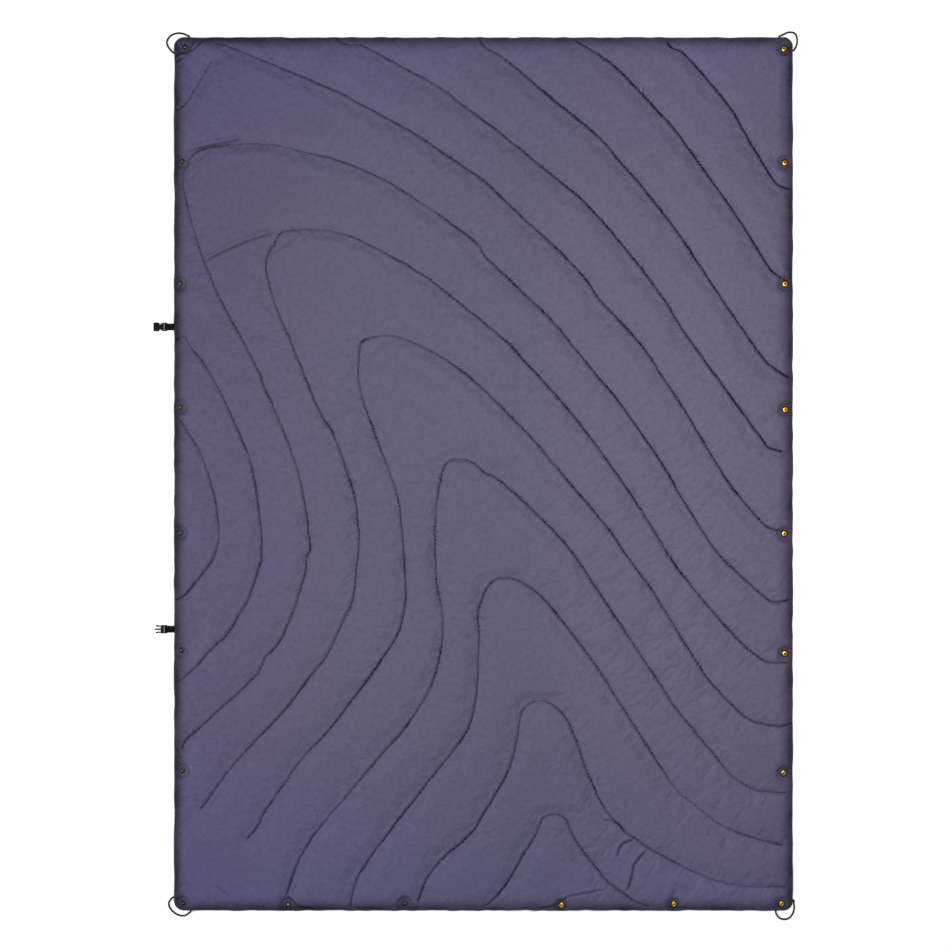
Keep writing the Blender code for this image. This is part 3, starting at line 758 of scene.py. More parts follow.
def hold_seams(x, y, lines):
    """Moves the nearest grid points onto the seams, and says which they are."""
    step_x, step_y = x[0, 1] - x[0, 0], y[1, 0] - y[0, 0]
    held_x, held_y = x.copy(), y.copy()
    held = np.zeros(x.shape, bool)
    for line in lines:
        i = np.rint((line[:, 0] - x[0, 0]) / step_x).astype(int)
        j = np.rint((line[:, 1] - y[0, 0]) / step_y).astype(int)
        inside = (i > 0) & (i < x.shape[1] - 1) & (j > 0) & (j < x.shape[0] - 1)
        i, j, points = i[inside], j[inside], line[inside]
        away = np.hypot(points[:, 0] - x[j, i], points[:, 1] - y[j, i])
        order = np.argsort(-away)
        i, j, points = i[order], j[order], points[order]
        held_x[j, i], held_y[j, i] = points.T
        held[j, i] = True
    return held_x, held_y, held


def snap_distance(x, y):
    """How far each point is from the middle of the nearest snap."""
    nearest = np.full(x.shape, 9.0)
    for snap_x, snap_y in snap_places():
        nearest = np.minimum(nearest, np.hypot(x - snap_x, y - snap_y))
    return nearest


def near_snaps(x, y, radius):
    """True where a snap pinches the cloth."""
    return snap_distance(x, y) < radius


def hold_rim(held):
    held[[0, -1]] = True
    held[:, [0, -1]] = True
    return held


def edge_distance(x, y):
    return np.minimum(WIDTH / 2 - np.abs(x), LENGTH / 2 - np.abs(y))


def inflate(step, lines):
    """The swelling of a skin that is held at the seams, the snaps and the edge."""
    x, y = flat_grid(step)
    held = hold_rim(hold_seams(x, y, lines)[2] | near_snaps(x, y, SNAP_HOLD))
    if step > 0.012:
        swell, rounds = np.zeros(x.shape), 500
    else:
        swell, rounds = resample(inflate(2 * step, lines), x.shape), 40
    for _ in range(rounds):
        around = swell[:-2, 1:-1] + swell[2:, 1:-1] + swell[1:-1, :-2] + swell[1:-1, 2:]
        swell[1:-1, 1:-1] = (around + step * step) / 4
        swell[held] = 0
    return swell


def puff(swell):
    """Height of the cloth above its seams: steep beside them, full in the middle."""
    reach = np.sqrt(np.maximum(2 * swell, 0)) * sizes().swell
    return reach / (1 + (reach / sizes().loft) ** 3) ** (1 / 3)


def seam_base(x, y, inner, edge):
    """Height of the held lines: rounded down towards the thin edge."""
    share = np.clip(edge_distance(x, y) / EDGE_ROUNDING, 0, 1)
    return edge + (inner - edge) * np.sqrt(1 - (1 - share) ** 2)


def settle(x, y, z, held):
    """Lets slack cloth, held at the seams, fill and wrinkle. Returns its moves."""
    grid = bmesh.new()
    bmesh.ops.create_grid(grid, x_segments=x.shape[1] - 1, y_segments=x.shape[0] - 1, size=1)
    mesh = kept_mesh("slack_cloth", grid)
    start = np.stack([x.ravel(), y.ravel(), z.ravel()], 1).astype(np.float32)
    mesh.vertices.foreach_set("co", start.ravel())
    cloth = linked_object("slack_cloth", mesh)
    group = cloth.vertex_groups.new(name="held")
    group.add(np.flatnonzero(held).tolist(), 1.0, "REPLACE")
    modifier = cloth.modifiers.new("slack", "CLOTH")
    rules = modifier.settings
    rules.quality = 3
    rules.mass = 0.15
    rules.tension_stiffness = 20
    rules.compression_stiffness = 20
    rules.shear_stiffness = 8
    rules.bending_stiffness = 0.02
    rules.vertex_group_mass = "held"
    rules.use_pressure = True
    rules.uniform_pressure_force = 2
    rules.shrink_min = rules.shrink_max = -sizes().slack
    rules.effector_weights.gravity = 0
    modifier.collision_settings.use_collision = False
    modifier.point_cache.frame_start = 1
    modifier.point_cache.frame_end = SETTLE_FRAMES
    scene = bpy.context.scene
    for moment in range(1, SETTLE_FRAMES + 1):
        scene.frame_set(moment)
    settled = cloth.evaluated_get(bpy.context.evaluated_depsgraph_get()).data
    points = np.empty(start.size, np.float32)
    settled.vertices.foreach_get("co", points)
    moves = points.reshape(-1, 3) - start
    longest = np.linalg.norm(moves, axis=1)
    moves *= np.minimum(1, FARTHEST_MOVE / np.maximum(longest, 1e-9))[:, None]
    bpy.data.objects.remove(cloth)
    bpy.data.meshes.remove(mesh)
    scene.frame_set(1)
    return [moves[:, k].reshape(x.shape).astype(float) for k in range(3)]



def slack_moves(lines):
    """How the slack shell settles, on the coarser grid that it settles on."""
    step = sizes().slack_grid
    x, y = flat_grid(step)
    swell = inflate(step, lines)
    x, y, held = hold_seams(x, y, lines)
    held = hold_rim(held | near_snaps(x, y, SNAP_HOLD))
    z = seam_base(x, y, sizes().seam_height + PINCH_DEPTH, HEM_TOP) + puff(swell)
    crumple = np.random.default_rng(11).normal(0, 0.15 * MM, x.shape)
    return settle(x, y, z + crumple * ~held, held)


def stamp_window(x, y, middle, reach):
    step = x[0, 1] - x[0, 0]
    i0, i1 = (int((middle[0] + side * reach - x[0, 0]) / step) for side in (-1, 1))
    j0, j1 = (int((middle[1] + side * reach - y[0, 0]) / step) for side in (-1, 1))
    return np.s_[max(j0, 0):max(j1, 0) + 1, max(i0, 0):max(i1, 0) + 1]


def press(z, x, y, start, direction, length, width, depth):
    """Presses one short groove into the cloth, with a soft ridge on each side."""
    window = stamp_window(x, y, start, length + 3 * width)
    dx, dy = x[window] - start[0], y[window] - start[1]
    along = dx * direction[0] + dy * direction[1]
    bend = along * along / length * 0.25
    across = (dy * direction[0] - dx * direction[1] + bend) / width
    fade = smoothstep(along / (2 * MM)) * np.clip(1 - along / length, 0, 1) ** 1.3
    z[window] -= depth * fade * (1 - 0.9 * across**2) * np.exp(-across**2)


def pucker(z, x, y, line, sides, gap, strength, chance):
    """Puckers across one line, in loose clusters."""
    heading = headings(line)
    phase = chance.uniform(0, 6.28, 3)
    total = (len(line) - 1) * SEAM_SPACING
    for side in sides:
        at = chance.uniform(4, 12) * MM
        while at < total:
            k = int(at / SEAM_SPACING)
            crowd = np.sin(at / 0.045 + phase[0]) + np.sin(at / 0.11 + phase[1])
            crowd = 0.45 + 0.3 * (crowd + np.sin(at / 0.017 + phase[2]) * 0.5)
            crowd = min(max(crowd, 0.05), 1.0)
            lean = chance.normal(0, 0.55)
            normal = np.array([-heading[k, 1], heading[k, 0]]) * side
            direction = normal * math.cos(lean) + heading[k] * math.sin(lean)
            length = chance.uniform(5, 13) * MM * (0.6 + 0.9 * crowd)
            width = chance.uniform(1.5, 2.4) * MM
            depth = chance.uniform(0.2, 1.0) * MM * (0.1 + 1.2 * crowd) * strength
            press(z, x, y, line[k], direction, length, width, depth)
            at += chance.uniform(0.5, 1.5) * gap * (1.7 - crowd)


def pucker_seams(z, x, y, lines):
    chance = np.random.default_rng(5)
    for line in lines:
        pucker(z, x, y, line, (-1, 1), PUCKER_GAP, 1.0, chance)
    rim = 1.5 * MM
    corners = [(side_x * (WIDTH / 2 - rim), side_y * (LENGTH / 2 - rim))
               for side_x, side_y in ((-1, -1), (1, -1), (1, 1), (-1, 1), (-1, -1))]
    for start, end in zip(corners, corners[1:]):
        line = smooth_line((start, end), SEAM_SPACING)
        pucker(z, x, y, line, (1,), PUCKER_GAP, 1.3, chance)


def pinch_snaps(z, x, y):
    """Wrinkles that run out from each snap."""
    chance = np.random.default_rng(9)
    for place in snap_places():
        count = chance.integers(7, 11)
        for k in range(count):
            angle = (k + chance.uniform(-0.35, 0.35)) * 2 * math.pi / count
            direction = np.array([math.cos(angle), math.sin(angle)])
            start = place + direction * (SNAP_HOLD + 0.5 * MM)
            length = chance.uniform(9, 30) * MM
            depth = chance.uniform(0.7, 2.2) * MM
            press(z, x, y, start, direction, length, chance.uniform(1.9, 3.2) * MM, depth)


def crease_folds(z, x, y):
    """The longer folds: a groove with a raised lip. Returns where painted shade lies along each
    groove, stronger in deeper folds.
    """
    painted_fold_shade = np.zeros(z.shape)
    for route, width, depth in FOLDS:
        line = smooth_line(route, 2 * MM)
        low = line.min(0) - 6 * width * MM
        high = line.max(0) + 6 * width * MM
        rows = np.flatnonzero((y[:, 0] > low[1]) & (y[:, 0] < high[1]))
        columns = np.flatnonzero((x[0] > low[0]) & (x[0] < high[0]))
        window = np.ix_(rows, columns)
        dx = x[window][..., None] - line[:, 0]
        dy = y[window][..., None] - line[:, 1]
        nearest = np.hypot(dx, dy).argmin(-1)
        heading = headings(line)[nearest]
        dx = np.take_along_axis(dx, nearest[..., None], -1)[..., 0]
        dy = np.take_along_axis(dy, nearest[..., None], -1)[..., 0]
        across = (dy * heading[..., 0] - dx * heading[..., 1]) / (width * MM)
        beyond = (dx * heading[..., 0] + dy * heading[..., 1]) / (width * MM)
        share = nearest / (len(line) - 1)
        ends = smoothstep(share / 0.2) * smoothstep((1 - share) / 0.2)
        groove = np.exp(-(across**2) * 2.2) - 0.75 * np.exp(-((across - 1.5) ** 2) * 0.9)
        fade = ends * np.exp(-(beyond**2))
        z[window] -= FOLD_DEPTH * depth * MM * groove * fade
        # Painted shade along the groove's middle.
        fold_shade = np.exp(-((across * width / 1.6) ** 2)) * fade * min(depth / 3, 1)
        painted_fold_shade[window] = np.maximum(painted_fold_shade[window], fold_shade)
    return painted_fold_shade


def measure_from_seams(x, y, lines):
    """For every grid point: how far along its nearest seam, off it, and on which side."""
    along = np.zeros(x.shape)
    away = np.full(x.shape, 1.0)
    side = np.ones(x.shape)
    offset = 0.0
    for line in lines:
        heading = headings(line)
        for k in range(len(line)):
            window = stamp_window(x, y, line[k], 1.3 * GATHER_REACH)
            dx, dy = x[window] - line[k, 0], y[window] - line[k, 1]
            distance = np.hypot(dx, dy)
            nearer = distance < away[window]
            across = heading[k, 0] * dy - heading[k, 1] * dx
            away[window][nearer] = distance[nearer]
            side[window][nearer] = np.sign(across[nearer])
            along[window][nearer] = offset + k * SEAM_SPACING
        offset += len(line) * SEAM_SPACING + 0.5
    return along, away, side


def seam_strength(x, y, shape):
    """How tightly the stitching pulls, about one, and less at the faint spots."""
    strength = 0.72 + 0.2 * uneven(shape, 0.06, 21)
    # Stronger to the right and towards the head; above 1.15 it only deepens the painted seam
    # shade.
    strength += np.maximum(x, 0) * (0.75 + 1.1 * y) + np.minimum(x, 0) * (0.2 + 0.5 * y)
    for spot_x, spot_y, reach, share in FAINT:
        near = np.exp(-((x - spot_x) ** 2 + (y - spot_y) ** 2) / reach**2)
        strength -= share * near
    return np.clip(strength, 0.15, 1.5)


def round_corners(x, y):
    """Pulls the square corners of the grid in to the blanket's round ones."""
    over_x = np.maximum(np.abs(x) - (WIDTH / 2 - CORNER_RADIUS), 0)
    over_y = np.maximum(np.abs(y) - (LENGTH / 2 - CORNER_RADIUS), 0)
    length = np.hypot(over_x, over_y)
    scale = np.where(length > 0, np.maximum(over_x, over_y) / np.maximum(length, 1e-9), 1)
    x = np.sign(x) * (np.abs(x) - over_x * (1 - scale))
    y = np.sign(y) * (np.abs(y) - over_y * (1 - scale))
    return x, y


def waver_edge(x, y):
    """The turned edge wanders in and out by about a millimetre."""
    near = np.clip(1 - edge_distance(x, y) / EDGE_WAVER, 0, 1) ** 2
    angle = np.arctan2(y / LENGTH, x / WIDTH)
    wander = sum(np.sin(angle * turns + turns) for turns in EDGE_WAVES)
    pull = np.clip(-0.5 + 0.3 * wander, -1.3, 1.0) * MM * near
    side = WIDTH / 2 - np.abs(x) < LENGTH / 2 - np.abs(y)
    x = x - np.sign(x) * (pull - 0.4 * MM * near) * side
    y = y - np.sign(y) * pull * ~side
    return x, y


def loop_exits():
    """Where each corner loop goes into the hem."""
    exits = []
    for corner, offsets in LOOP_ROUTES.values():
        for dx, dy in (offsets[0], offsets[-1]):
            exits.append((corner[0] + dx, corner[1] + dy))
    return exits


def bulge_at_loops(x, y, height):
    lift = np.zeros(x.shape)
    for exit_x, exit_y in loop_exits():
        near = ((x - exit_x) ** 2 + (y - exit_y) ** 2) / (5 * MM) ** 2
        lift = np.maximum(lift, height * np.exp(-near))
    return lift


def seam_marks(x, y, seams, strength, pinched):
    """Where each point is along and off its seam or hem, and how gathered it is."""
    along, away, side = seams
    gather = np.exp(-((away / (0.42 * GATHER_REACH)) ** 2)) * np.clip(strength + 0.2, 0, 1.2)
    clusters = np.clip(0.5 + 0.6 * uneven(x.shape, 0.035, 8), 0.05, 1.3)
    gather = (gather * clusters + 0.05) * ~pinched
    off_edge = edge_distance(x, y)
    rim = (off_edge < away) & (off_edge < EDGE_FILL)
    on_end = LENGTH / 2 - np.abs(y) < WIDTH / 2 - np.abs(x)
    along = np.where(rim, np.where(on_end, x, y) + 9, along)
    off_line = np.where(rim, off_edge + 0.5, away * side)
    gather = np.where(rim, np.exp(-((off_edge / HEM_GATHER) ** 2)) * clusters, gather)
    return along, off_line, gather


def top_cloth(lines):
    """Points of the finished top shell, which are held, and their shading marks."""
    step = sizes().grid
    x, y = flat_grid(step)
    shape = x.shape
    swell = inflate(step, lines)
    flat_x, flat_y, held = hold_seams(x, y, lines)
    seams = measure_from_seams(flat_x, flat_y, lines)
    strength = seam_strength(x, y, shape)
    fullness = puff(swell) * (0.82 + 0.3 * strength)
    inside = smoothstep(edge_distance(x, y) / EDGE_FILL)
    z = seam_base(x, y, sizes().seam_height + PINCH_DEPTH, HEM_TOP) + fullness
    free = smoothstep(fullness / (4 * MM))
    z += free * (0.45 * MM * uneven(shape, 0.09, 3) + 0.16 * MM * uneven(shape, 0.022, 4))
    z += inside * 0.05 * MM * uneven(shape, 0.008, 6)
    tight = strength * smoothstep(edge_distance(x, y) / EDGE_TIGHT)
    z -= PINCH_DEPTH * np.minimum(tight, 1.15) * np.exp(-((seams[1] / PINCH) ** 2))
    pucker_seams(z, x, y, lines)
    pinch_snaps(z, x, y)
    painted_fold_shade = crease_folds(z, x, y)
    x, y = flat_x, flat_y
    pinched = near_snaps(x, y, SNAP_HOLD)
    loose = ~(held | pinched)
    moves = [resample(move, shape) * loose for move in slack_moves(lines)]
    x, y, z = x + moves[0], y + moves[1], z + moves[2]
    z[pinched] = HEM_TOP
    z = HEM_TOP + (z - HEM_TOP) * smoothstep((snap_distance(x, y) - SNAP_HOLD) / SNAP_SLOPE)
    z = np.clip(z, HEM_TOP - 0.3 * MM, CROWN)
    z = lie_low_at_tabs(x, y, z)
    z += bulge_at_loops(x, y, 1.5 * MM)
    z = hem_rolled(z)
    x, y = waver_edge(*round_corners(x, y))
    # Painted hem shade: darkest at the edge, fading over HEM_SHADE, and up to a fifth stronger
    # towards the left edge.
    hem = np.exp(-((edge_distance(x, y) / HEM_SHADE) ** 2))
    hem *= 1 + 0.2 * smoothstep(-x / 0.6)
    # dark holds how strong the painted seam, hem and fold shade are at each point.
    marks = {
        "seam": seam_marks(x, y, seams, strength, pinched),
        "dark": (tight, hem, painted_fold_shade),
    }
    marks = {name: np.stack(parts, -1).reshape(-1, 3) for name, parts in marks.items()}
    return (x, y, z), held, marks


def lie_low_at_tabs(x, y, z):
    """Presses the cloth down beside each tab, where its buckle half can fold over."""
    for half in ("female", "male"):
        low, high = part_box(f"tab_{half}")
        off = np.hypot(x + WIDTH / 2 - TAB_LOW_INSET, y - (low.y + high.y) / 2)
        near = 1 - smoothstep((off - TAB_LOW_RADIUS) / TAB_LOW_SLOPE)
        z = z - near * np.maximum(z - TAB_CLEARANCE, 0)
    return z


def hem_rolled(z):
    """Rounds the turned edge down."""
    z[[0, -1]] = HEM_TOP - HEM_ROLL
    z[:, [0, -1]] = HEM_TOP - HEM_ROLL
    return z


def under_cloth(lines):
    """Points of the lining: flat on the ground, drawn up at the seams."""
    step = sizes().grid * 2.5
    x, y = flat_grid(step)
    swell = inflate(step, lines)
    reach = np.sqrt(np.maximum(2 * swell, 0))
    x, y, held = hold_seams(x, y, lines)
    drawn_up = seam_base(x, y, sizes().seam_height - LINING_DROP, HEM_UNDERSIDE)
    z = GROUND_GAP + (drawn_up - GROUND_GAP) * np.exp(-((reach / 0.016) ** 2))
    z += smoothstep(reach / 0.03) * 0.35 * MM * (1 + np.abs(uneven(x.shape, 0.03, 14)))
    z[near_snaps(x, y, SNAP_HOLD + 1.5 * MM)] = HEM_UNDERSIDE
    z -= bulge_at_loops(x, y, 0.9 * MM)
    x, y = waver_edge(*round_corners(x, y))
    inset = 1 - 0.6 * MM / (WIDTH / 2)
    return x * inset, y * inset, z



def cloth_grid(mesh, x, y, z, upwards):
    """Adds one side of the quilt to a bmesh, and returns its new vertices."""
    rows, columns = x.shape
    made = bmesh.ops.create_grid(mesh, x_segments=columns - 1, y_segments=rows - 1, size=1)
    for vertex, point in zip(made["verts"], zip(x.ravel(), y.ravel(), z.ravel())):
        vertex.co = point
    if not upwards:
        faces = {face for vertex in made["verts"] for face in vertex.link_faces}
        bmesh.ops.reverse_faces(mesh, faces=list(faces))
        for face in faces:
            face.material_index = 1
    return made["verts"]


def rim_edges(vertices):
    return list({e for v in vertices if v.is_boundary for e in v.link_edges if e.is_boundary})


def build_quilt():
    lines = seam_lines()
    points, held, marks = top_cloth(lines)
    mesh = bmesh.new()
    top = cloth_grid(mesh, *points, True)
    on_seam = [top[k] for k in np.flatnonzero(held)]
    under = cloth_grid(mesh, *under_cloth(lines), False)
    bmesh.ops.bridge_loops(mesh, edges=rim_edges(top) + rim_edges(under))
    bmesh.ops.connect_verts(mesh, verts=on_seam)
    data = kept_mesh("quilt", mesh)
    for name, marked in marks.items():
        values = np.zeros((len(data.vertices), 3), np.float32)
        values[: len(marked)] = marked
        data.attributes.new(name, "FLOAT_VECTOR", "POINT").data.foreach_set(
            "vector", values.ravel()
        )
    shell = cloth_material("shell_nylon", colours().shell)
    lining = cloth_material("lining_nylon", colours().lining)
    quilt = place_object("quilt", data, ROOT, shell, lining)
    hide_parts("top_shell", "bottom_shell", "batting")


class MakeQuilt(bpy.types.Operator):
    """Makes the quilted body of the blanket"""

    bl_idname = "blanket.quilt"
    bl_label = "Quilt"

    def execute(self, context):
        build_quilt()
        return {"FINISHED"}


class MakeThread(bpy.types.Operator):
    """Makes the quilting stitches, lying in the quilt's seams"""

    bl_idname = "blanket.thread"
    bl_label = "Quilting thread"

    def execute(self, context):
        build_thread()
        return {"FINISHED"}


def stitch_places(top):
    """Every stitch's middle and heading, on the quilt's top side."""
    rows, columns = top.shape[:2]
    places = []
    for line in seam_lines():
        heading = headings(line)
        pitch = round(sizes().stitch / SEAM_SPACING)
        for k in range(pitch // 2, len(line), pitch):
            i = round((line[k, 0] / WIDTH + 0.5) * (columns - 1))
            j = round((line[k, 1] / LENGTH + 0.5) * (rows - 1))
            if 0 < i < columns - 1 and 0 < j < rows - 1:
                places.append((*line[k], top[j, i, 2] + 0.12 * MM, *heading[k]))
    return np.array(places)


def build_thread():
    """One small spindle of thread for every stitch."""
    rows, columns = flat_grid(sizes().grid)[0].shape
    quilt = bpy.data.objects["quilt"].data
    points = np.empty(len(quilt.vertices) * 3, np.float32)
    quilt.vertices.foreach_get("co", points)
    top = points.reshape(-1, 3)[: rows * columns].reshape(rows, columns, 3)
    places = stitch_places(top)
    mesh = bmesh.new()
    bmesh.ops.create_uvsphere(mesh, u_segments=5, v_segments=4, radius=1)
    lengthways = Matrix.Rotation(math.pi / 2, 3, "Y")
    bmesh.ops.rotate(mesh, verts=mesh.verts, matrix=lengthways)
    bmesh.ops.scale(mesh, verts=mesh.verts, vec=(sizes().stitch * 0.42, 0.42 * MM, 0.32 * MM))
    stitch = np.array([vertex.co for vertex in mesh.verts])
    faces = len(mesh.faces)
    while len(mesh.faces) < faces * len(places):
        missing = faces * len(places) - len(mesh.faces)
        mesh.faces.ensure_lookup_table()
        bmesh.ops.duplicate(mesh, geom=mesh.faces[:missing])
    data = kept_mesh("quilting_thread", mesh)
    ahead, aside = places[:, None, 3:5], places[:, None, 3:5] * (1, -1)
    flat = ahead * stitch[None, :, :1] + aside[..., ::-1] * stitch[None, :, 1:2]
    spots = np.concatenate([flat, np.broadcast_to(stitch[:, 2:], (*flat.shape[:2], 1))], -1)
    spots += places[:, None, :3]
    data.vertices.foreach_set("co", spots.ravel())
    data.update()
    thread = worn_material("thread", colours().thread, 0.6, 0, 900, 0.05 * MM)
    piece = place_object("quilting_thread", data, ROOT, thread)


# ---------------------------------------------------------------- cord loops


def loop_height(share):
    """The cord leaves the hem at mid height and settles almost to the ground."""
    ease = smoothstep(min(share, 1 - share) / 0.3)
    return CORD_EXIT_HEIGHT + (CORD_LOW - CORD_EXIT_HEIGHT) * ease


def loop_route(corner, offsets):
    """A loop's middle line, its ends kept clear of the hem as in the frame."""
    last = len(offsets) - 1
    points = []
    for i, (dx, dy) in enumerate(offsets):
        x, y = corner[0] + dx, corner[1] + dy
        if i in (0, last):
            x += math.copysign(CORD_END_GAP, corner[0]) if dx == 0 else 0
            y += math.copysign(CORD_END_GAP, corner[1]) if dy == 0 else 0
        points.append((x, y, loop_height(i / last)))
    return points


def tucked_in(route):
    """The same route with its ends taken on into the hem."""
    route = [Vector(point) for point in route]
    ends = []
    for end in (route[0], route[-1]):
        inside = end.copy()
        if abs(end.x) > WIDTH / 2:
            inside.x -= math.copysign(CORD_END_GAP + CORD_TUCK, end.x)
        else:
            inside.y -= math.copysign(CORD_END_GAP + CORD_TUCK, end.y)
        ends.append(inside)
    return [ends[0], *route, ends[1]]


def sweep(line, radius, sides):
    """Rings of points round a line; radius is a function of length and angle."""
    heading = headings(line)
    sideways = np.cross(heading, (0, 0, 1.0))
    sideways /= np.linalg.norm(sideways, axis=1)[:, None]
    upwards = np.cross(sideways, heading)
    angle = np.linspace(0, 2 * math.pi, sides, endpoint=False)
    around = radius(along_line(line)[:, None], angle[None, :])[..., None]
    cosine, sine = np.cos(angle)[None, :, None], np.sin(angle)[None, :, None]
    return line[:, None] + (cosine * sideways[:, None] + sine * upwards[:, None]) * around


def braid(at, angle):
    """Radius of a braided cord: strands that cross both ways round it."""
    turns = 2 * math.pi * at / BRAID_PITCH
    round_it = BRAID_STRANDS * angle
    strands = np.maximum(np.sin(round_it + turns), np.sin(round_it - turns))
    return CORD_DIAMETER / 2 * (0.95 + 0.05 * strands)


def build_loop(name, material):
    corner, offsets = LOOP_ROUTES[name]
    line = smooth_line(tucked_in(loop_route(corner, offsets)), 0.55 * MM)
    rings = sweep(line, braid, 20)
    mesh = bmesh.new()
    bmesh.ops.create_grid(
        mesh, x_segments=rings.shape[1] - 1, y_segments=rings.shape[0] - 1, size=1
    )
    mesh.verts.ensure_lookup_table()
    for vertex, point in zip(mesh.verts, rings.reshape(-1, 3)):
        vertex.co = point
    sides = rings.shape[1]
    first = [mesh.verts[k * sides] for k in range(rings.shape[0])]
    last = [mesh.verts[k * sides + sides - 1] for k in range(rings.shape[0])]
    for a, b, c, d in zip(first, first[1:], last[1:], last):
        mesh.faces.new((a, b, c, d))
    bmesh.ops.holes_fill(mesh, edges=[e for e in mesh.edges if e.is_boundary], sides=0)
    bmesh.ops.recalc_face_normals(mesh, faces=mesh.faces)
    piece = place_object(f"cord_{name}", kept_mesh(f"cord_{name}", mesh), name, material)
    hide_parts(name)


class MakeLoops(bpy.types.Operator):
    """Makes the shock cord loop at each corner"""

    bl_idname = "blanket.loops"
    bl_label = "Corner loops"

    def execute(self, context):
        sheath = shade(colours().black, 0.4)
        material = worn_material("cord_sheath", sheath, 0.8, 0, 900, 0.1 * MM)
        for name in LOOP_ROUTES:
            build_loop(name, material)
        return {"FINISHED"}


# ---------------------------------------------------------------- snaps

SNAP_SIDES = 36
SNAP_GRAIN = (300, 0.02 * MM)
# Socket 9's well is a pale grey metal: a painted glint, not a different finish.
GLINT_SOCKET = 9
PAINTED_GLINT_GREY = (0.75, 0.75, 0.73)
# Dark red inside each stud's central dent: painted shade in the hollow.
HOLE_PAINTED_SHADE = (0.09, 0.02, 0.01)

# Profiles are (radius, height) in millimetres, from the middle outwards
SOCKET_PROFILE = (
    (2.35, 6.2), (2.35, 7.0), (2.75, 7.4), (3.6, 7.4), (4.0, 7.0), (4.4, 6.3), (4.9, 6.05),
    (5.6, 6.15), (6.2, 6.0), (6.5, 5.6), (6.5, 5.1), (6.3, 4.8), (2.9, 4.8), (2.9, 6.2),
)
SOCKET_WELL = ((0, 5.6), (2.5, 5.6), (2.95, 5.75), (2.95, 4.9), (0, 4.9))
STUD_PROFILE = (
    (0, 6.4), (1.0, 6.4), (1.3, 7.5), (1.7, 8.05), (2.2, 8.2), (2.6, 8.0), (2.9, 7.6),
    (2.85, 7.1), (2.5, 6.6), (2.5, 6.3), (2.9, 6.0), (3.6, 5.95), (4.4, 5.9), (5.2, 5.7),
    (5.7, 5.4), (5.85, 5.1), (5.7, 4.9), (0, 4.9),
)
STUD_HOLE = 1.5 * MM
STUD_HOLE_FLOOR = 6 * MM
# A black ring under each stud, for the dark ring round it, which is partly a washer and partly
# the stud's shadow painted black.
STUD_WASHER_AND_SHADOW = (
    (5.8, 4.8), (5.9, 5.25), (6.3, 5.35), (7.8, 5.3), (8.3, 5.0), (8.3, 4.65), (8.1, 4.55),
    (5.8, 4.55),
)
BACK_PROFILE = (
    (0, 0.75), (1.2, 0.75), (1.6, 0.45), (5.6, 0.4), (6.2, 0.6), (6.5, 1.1), (6.5, 1.8),
    (6.2, 2.3), (1.7, 2.3), (1.7, 5.0), (0, 5.0),
)


def turned(mesh, profile, place, closed=False):
    """Adds a profile of (radius, height), in millimetres, turned about a point."""
    corners = [mesh.verts.new((place[0] + r * MM, place[1], z * MM)) for r, z in profile]
    pairs = list(zip(corners, corners[1:]))
    if closed:
        pairs.append((corners[-1], corners[0]))
    edges = [mesh.edges.new(pair) for pair in pairs]
    bmesh.ops.spin(
        mesh, geom=corners + edges, cent=(*place, 0), axis=(0, 0, 1),
        angle=2 * math.pi, steps=SNAP_SIDES, use_merge=True,
    )


def finished_turning(name, mesh, body, node, slot, *materials):
    bmesh.ops.remove_doubles(mesh, verts=mesh.verts, dist=0.002 * MM)
    bmesh.ops.recalc_face_normals(mesh, faces=mesh.faces)
    data = kept_mesh(name, mesh)
    data.set_sharp_from_angle(angle=math.radians(42))
    piece = place_object(name, data, body, *materials)
    if node:
        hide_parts(node)


def second_material(mesh, first):
    """Gives every face from the first one on the piece's second material."""
    mesh.faces.ensure_lookup_table()
    for face in mesh.faces[first:]:
        face.material_index = 1


def build_socket(number, dark, well):
    node = f"snap_socket_{number}"
    mesh = bmesh.new()
    turned(mesh, SOCKET_PROFILE, middle_of(node), closed=True)
    ring = len(mesh.faces)
    turned(mesh, SOCKET_WELL, middle_of(node))
    second_material(mesh, ring)
    finished_turning(f"socket_{number}", mesh, ROOT, node, "black_metal", dark, well)


def build_stud(number, brass, black, hole):
    node = f"snap_stud_{number}"
    mesh = bmesh.new()
    turned(mesh, STUD_PROFILE, middle_of(node))
    ring = len(mesh.faces)
    # The black ring round the stud: partly washer, partly painted shadow.
    turned(mesh, STUD_WASHER_AND_SHADOW, middle_of(node), closed=True)
    second_material(mesh, ring)
    # Painted shade: faces inside the central dent take the dark hole colour.
    centre = Vector((*middle_of(node), 0))
    for face in mesh.faces[:ring]:
        off = (face.calc_center_median() - centre).to_2d().length
        if off < STUD_HOLE and face.calc_center_median().z > STUD_HOLE_FLOOR:
            face.material_index = 2
    finished_turning(f"stud_{number}", mesh, ROOT, node, "brass", brass, black, hole)


def build_back(node, name, slot, metal):
    mesh = bmesh.new()
    turned(mesh, BACK_PROFILE, middle_of(node))
    finished_turning(name, mesh, ROOT, node, slot, metal)


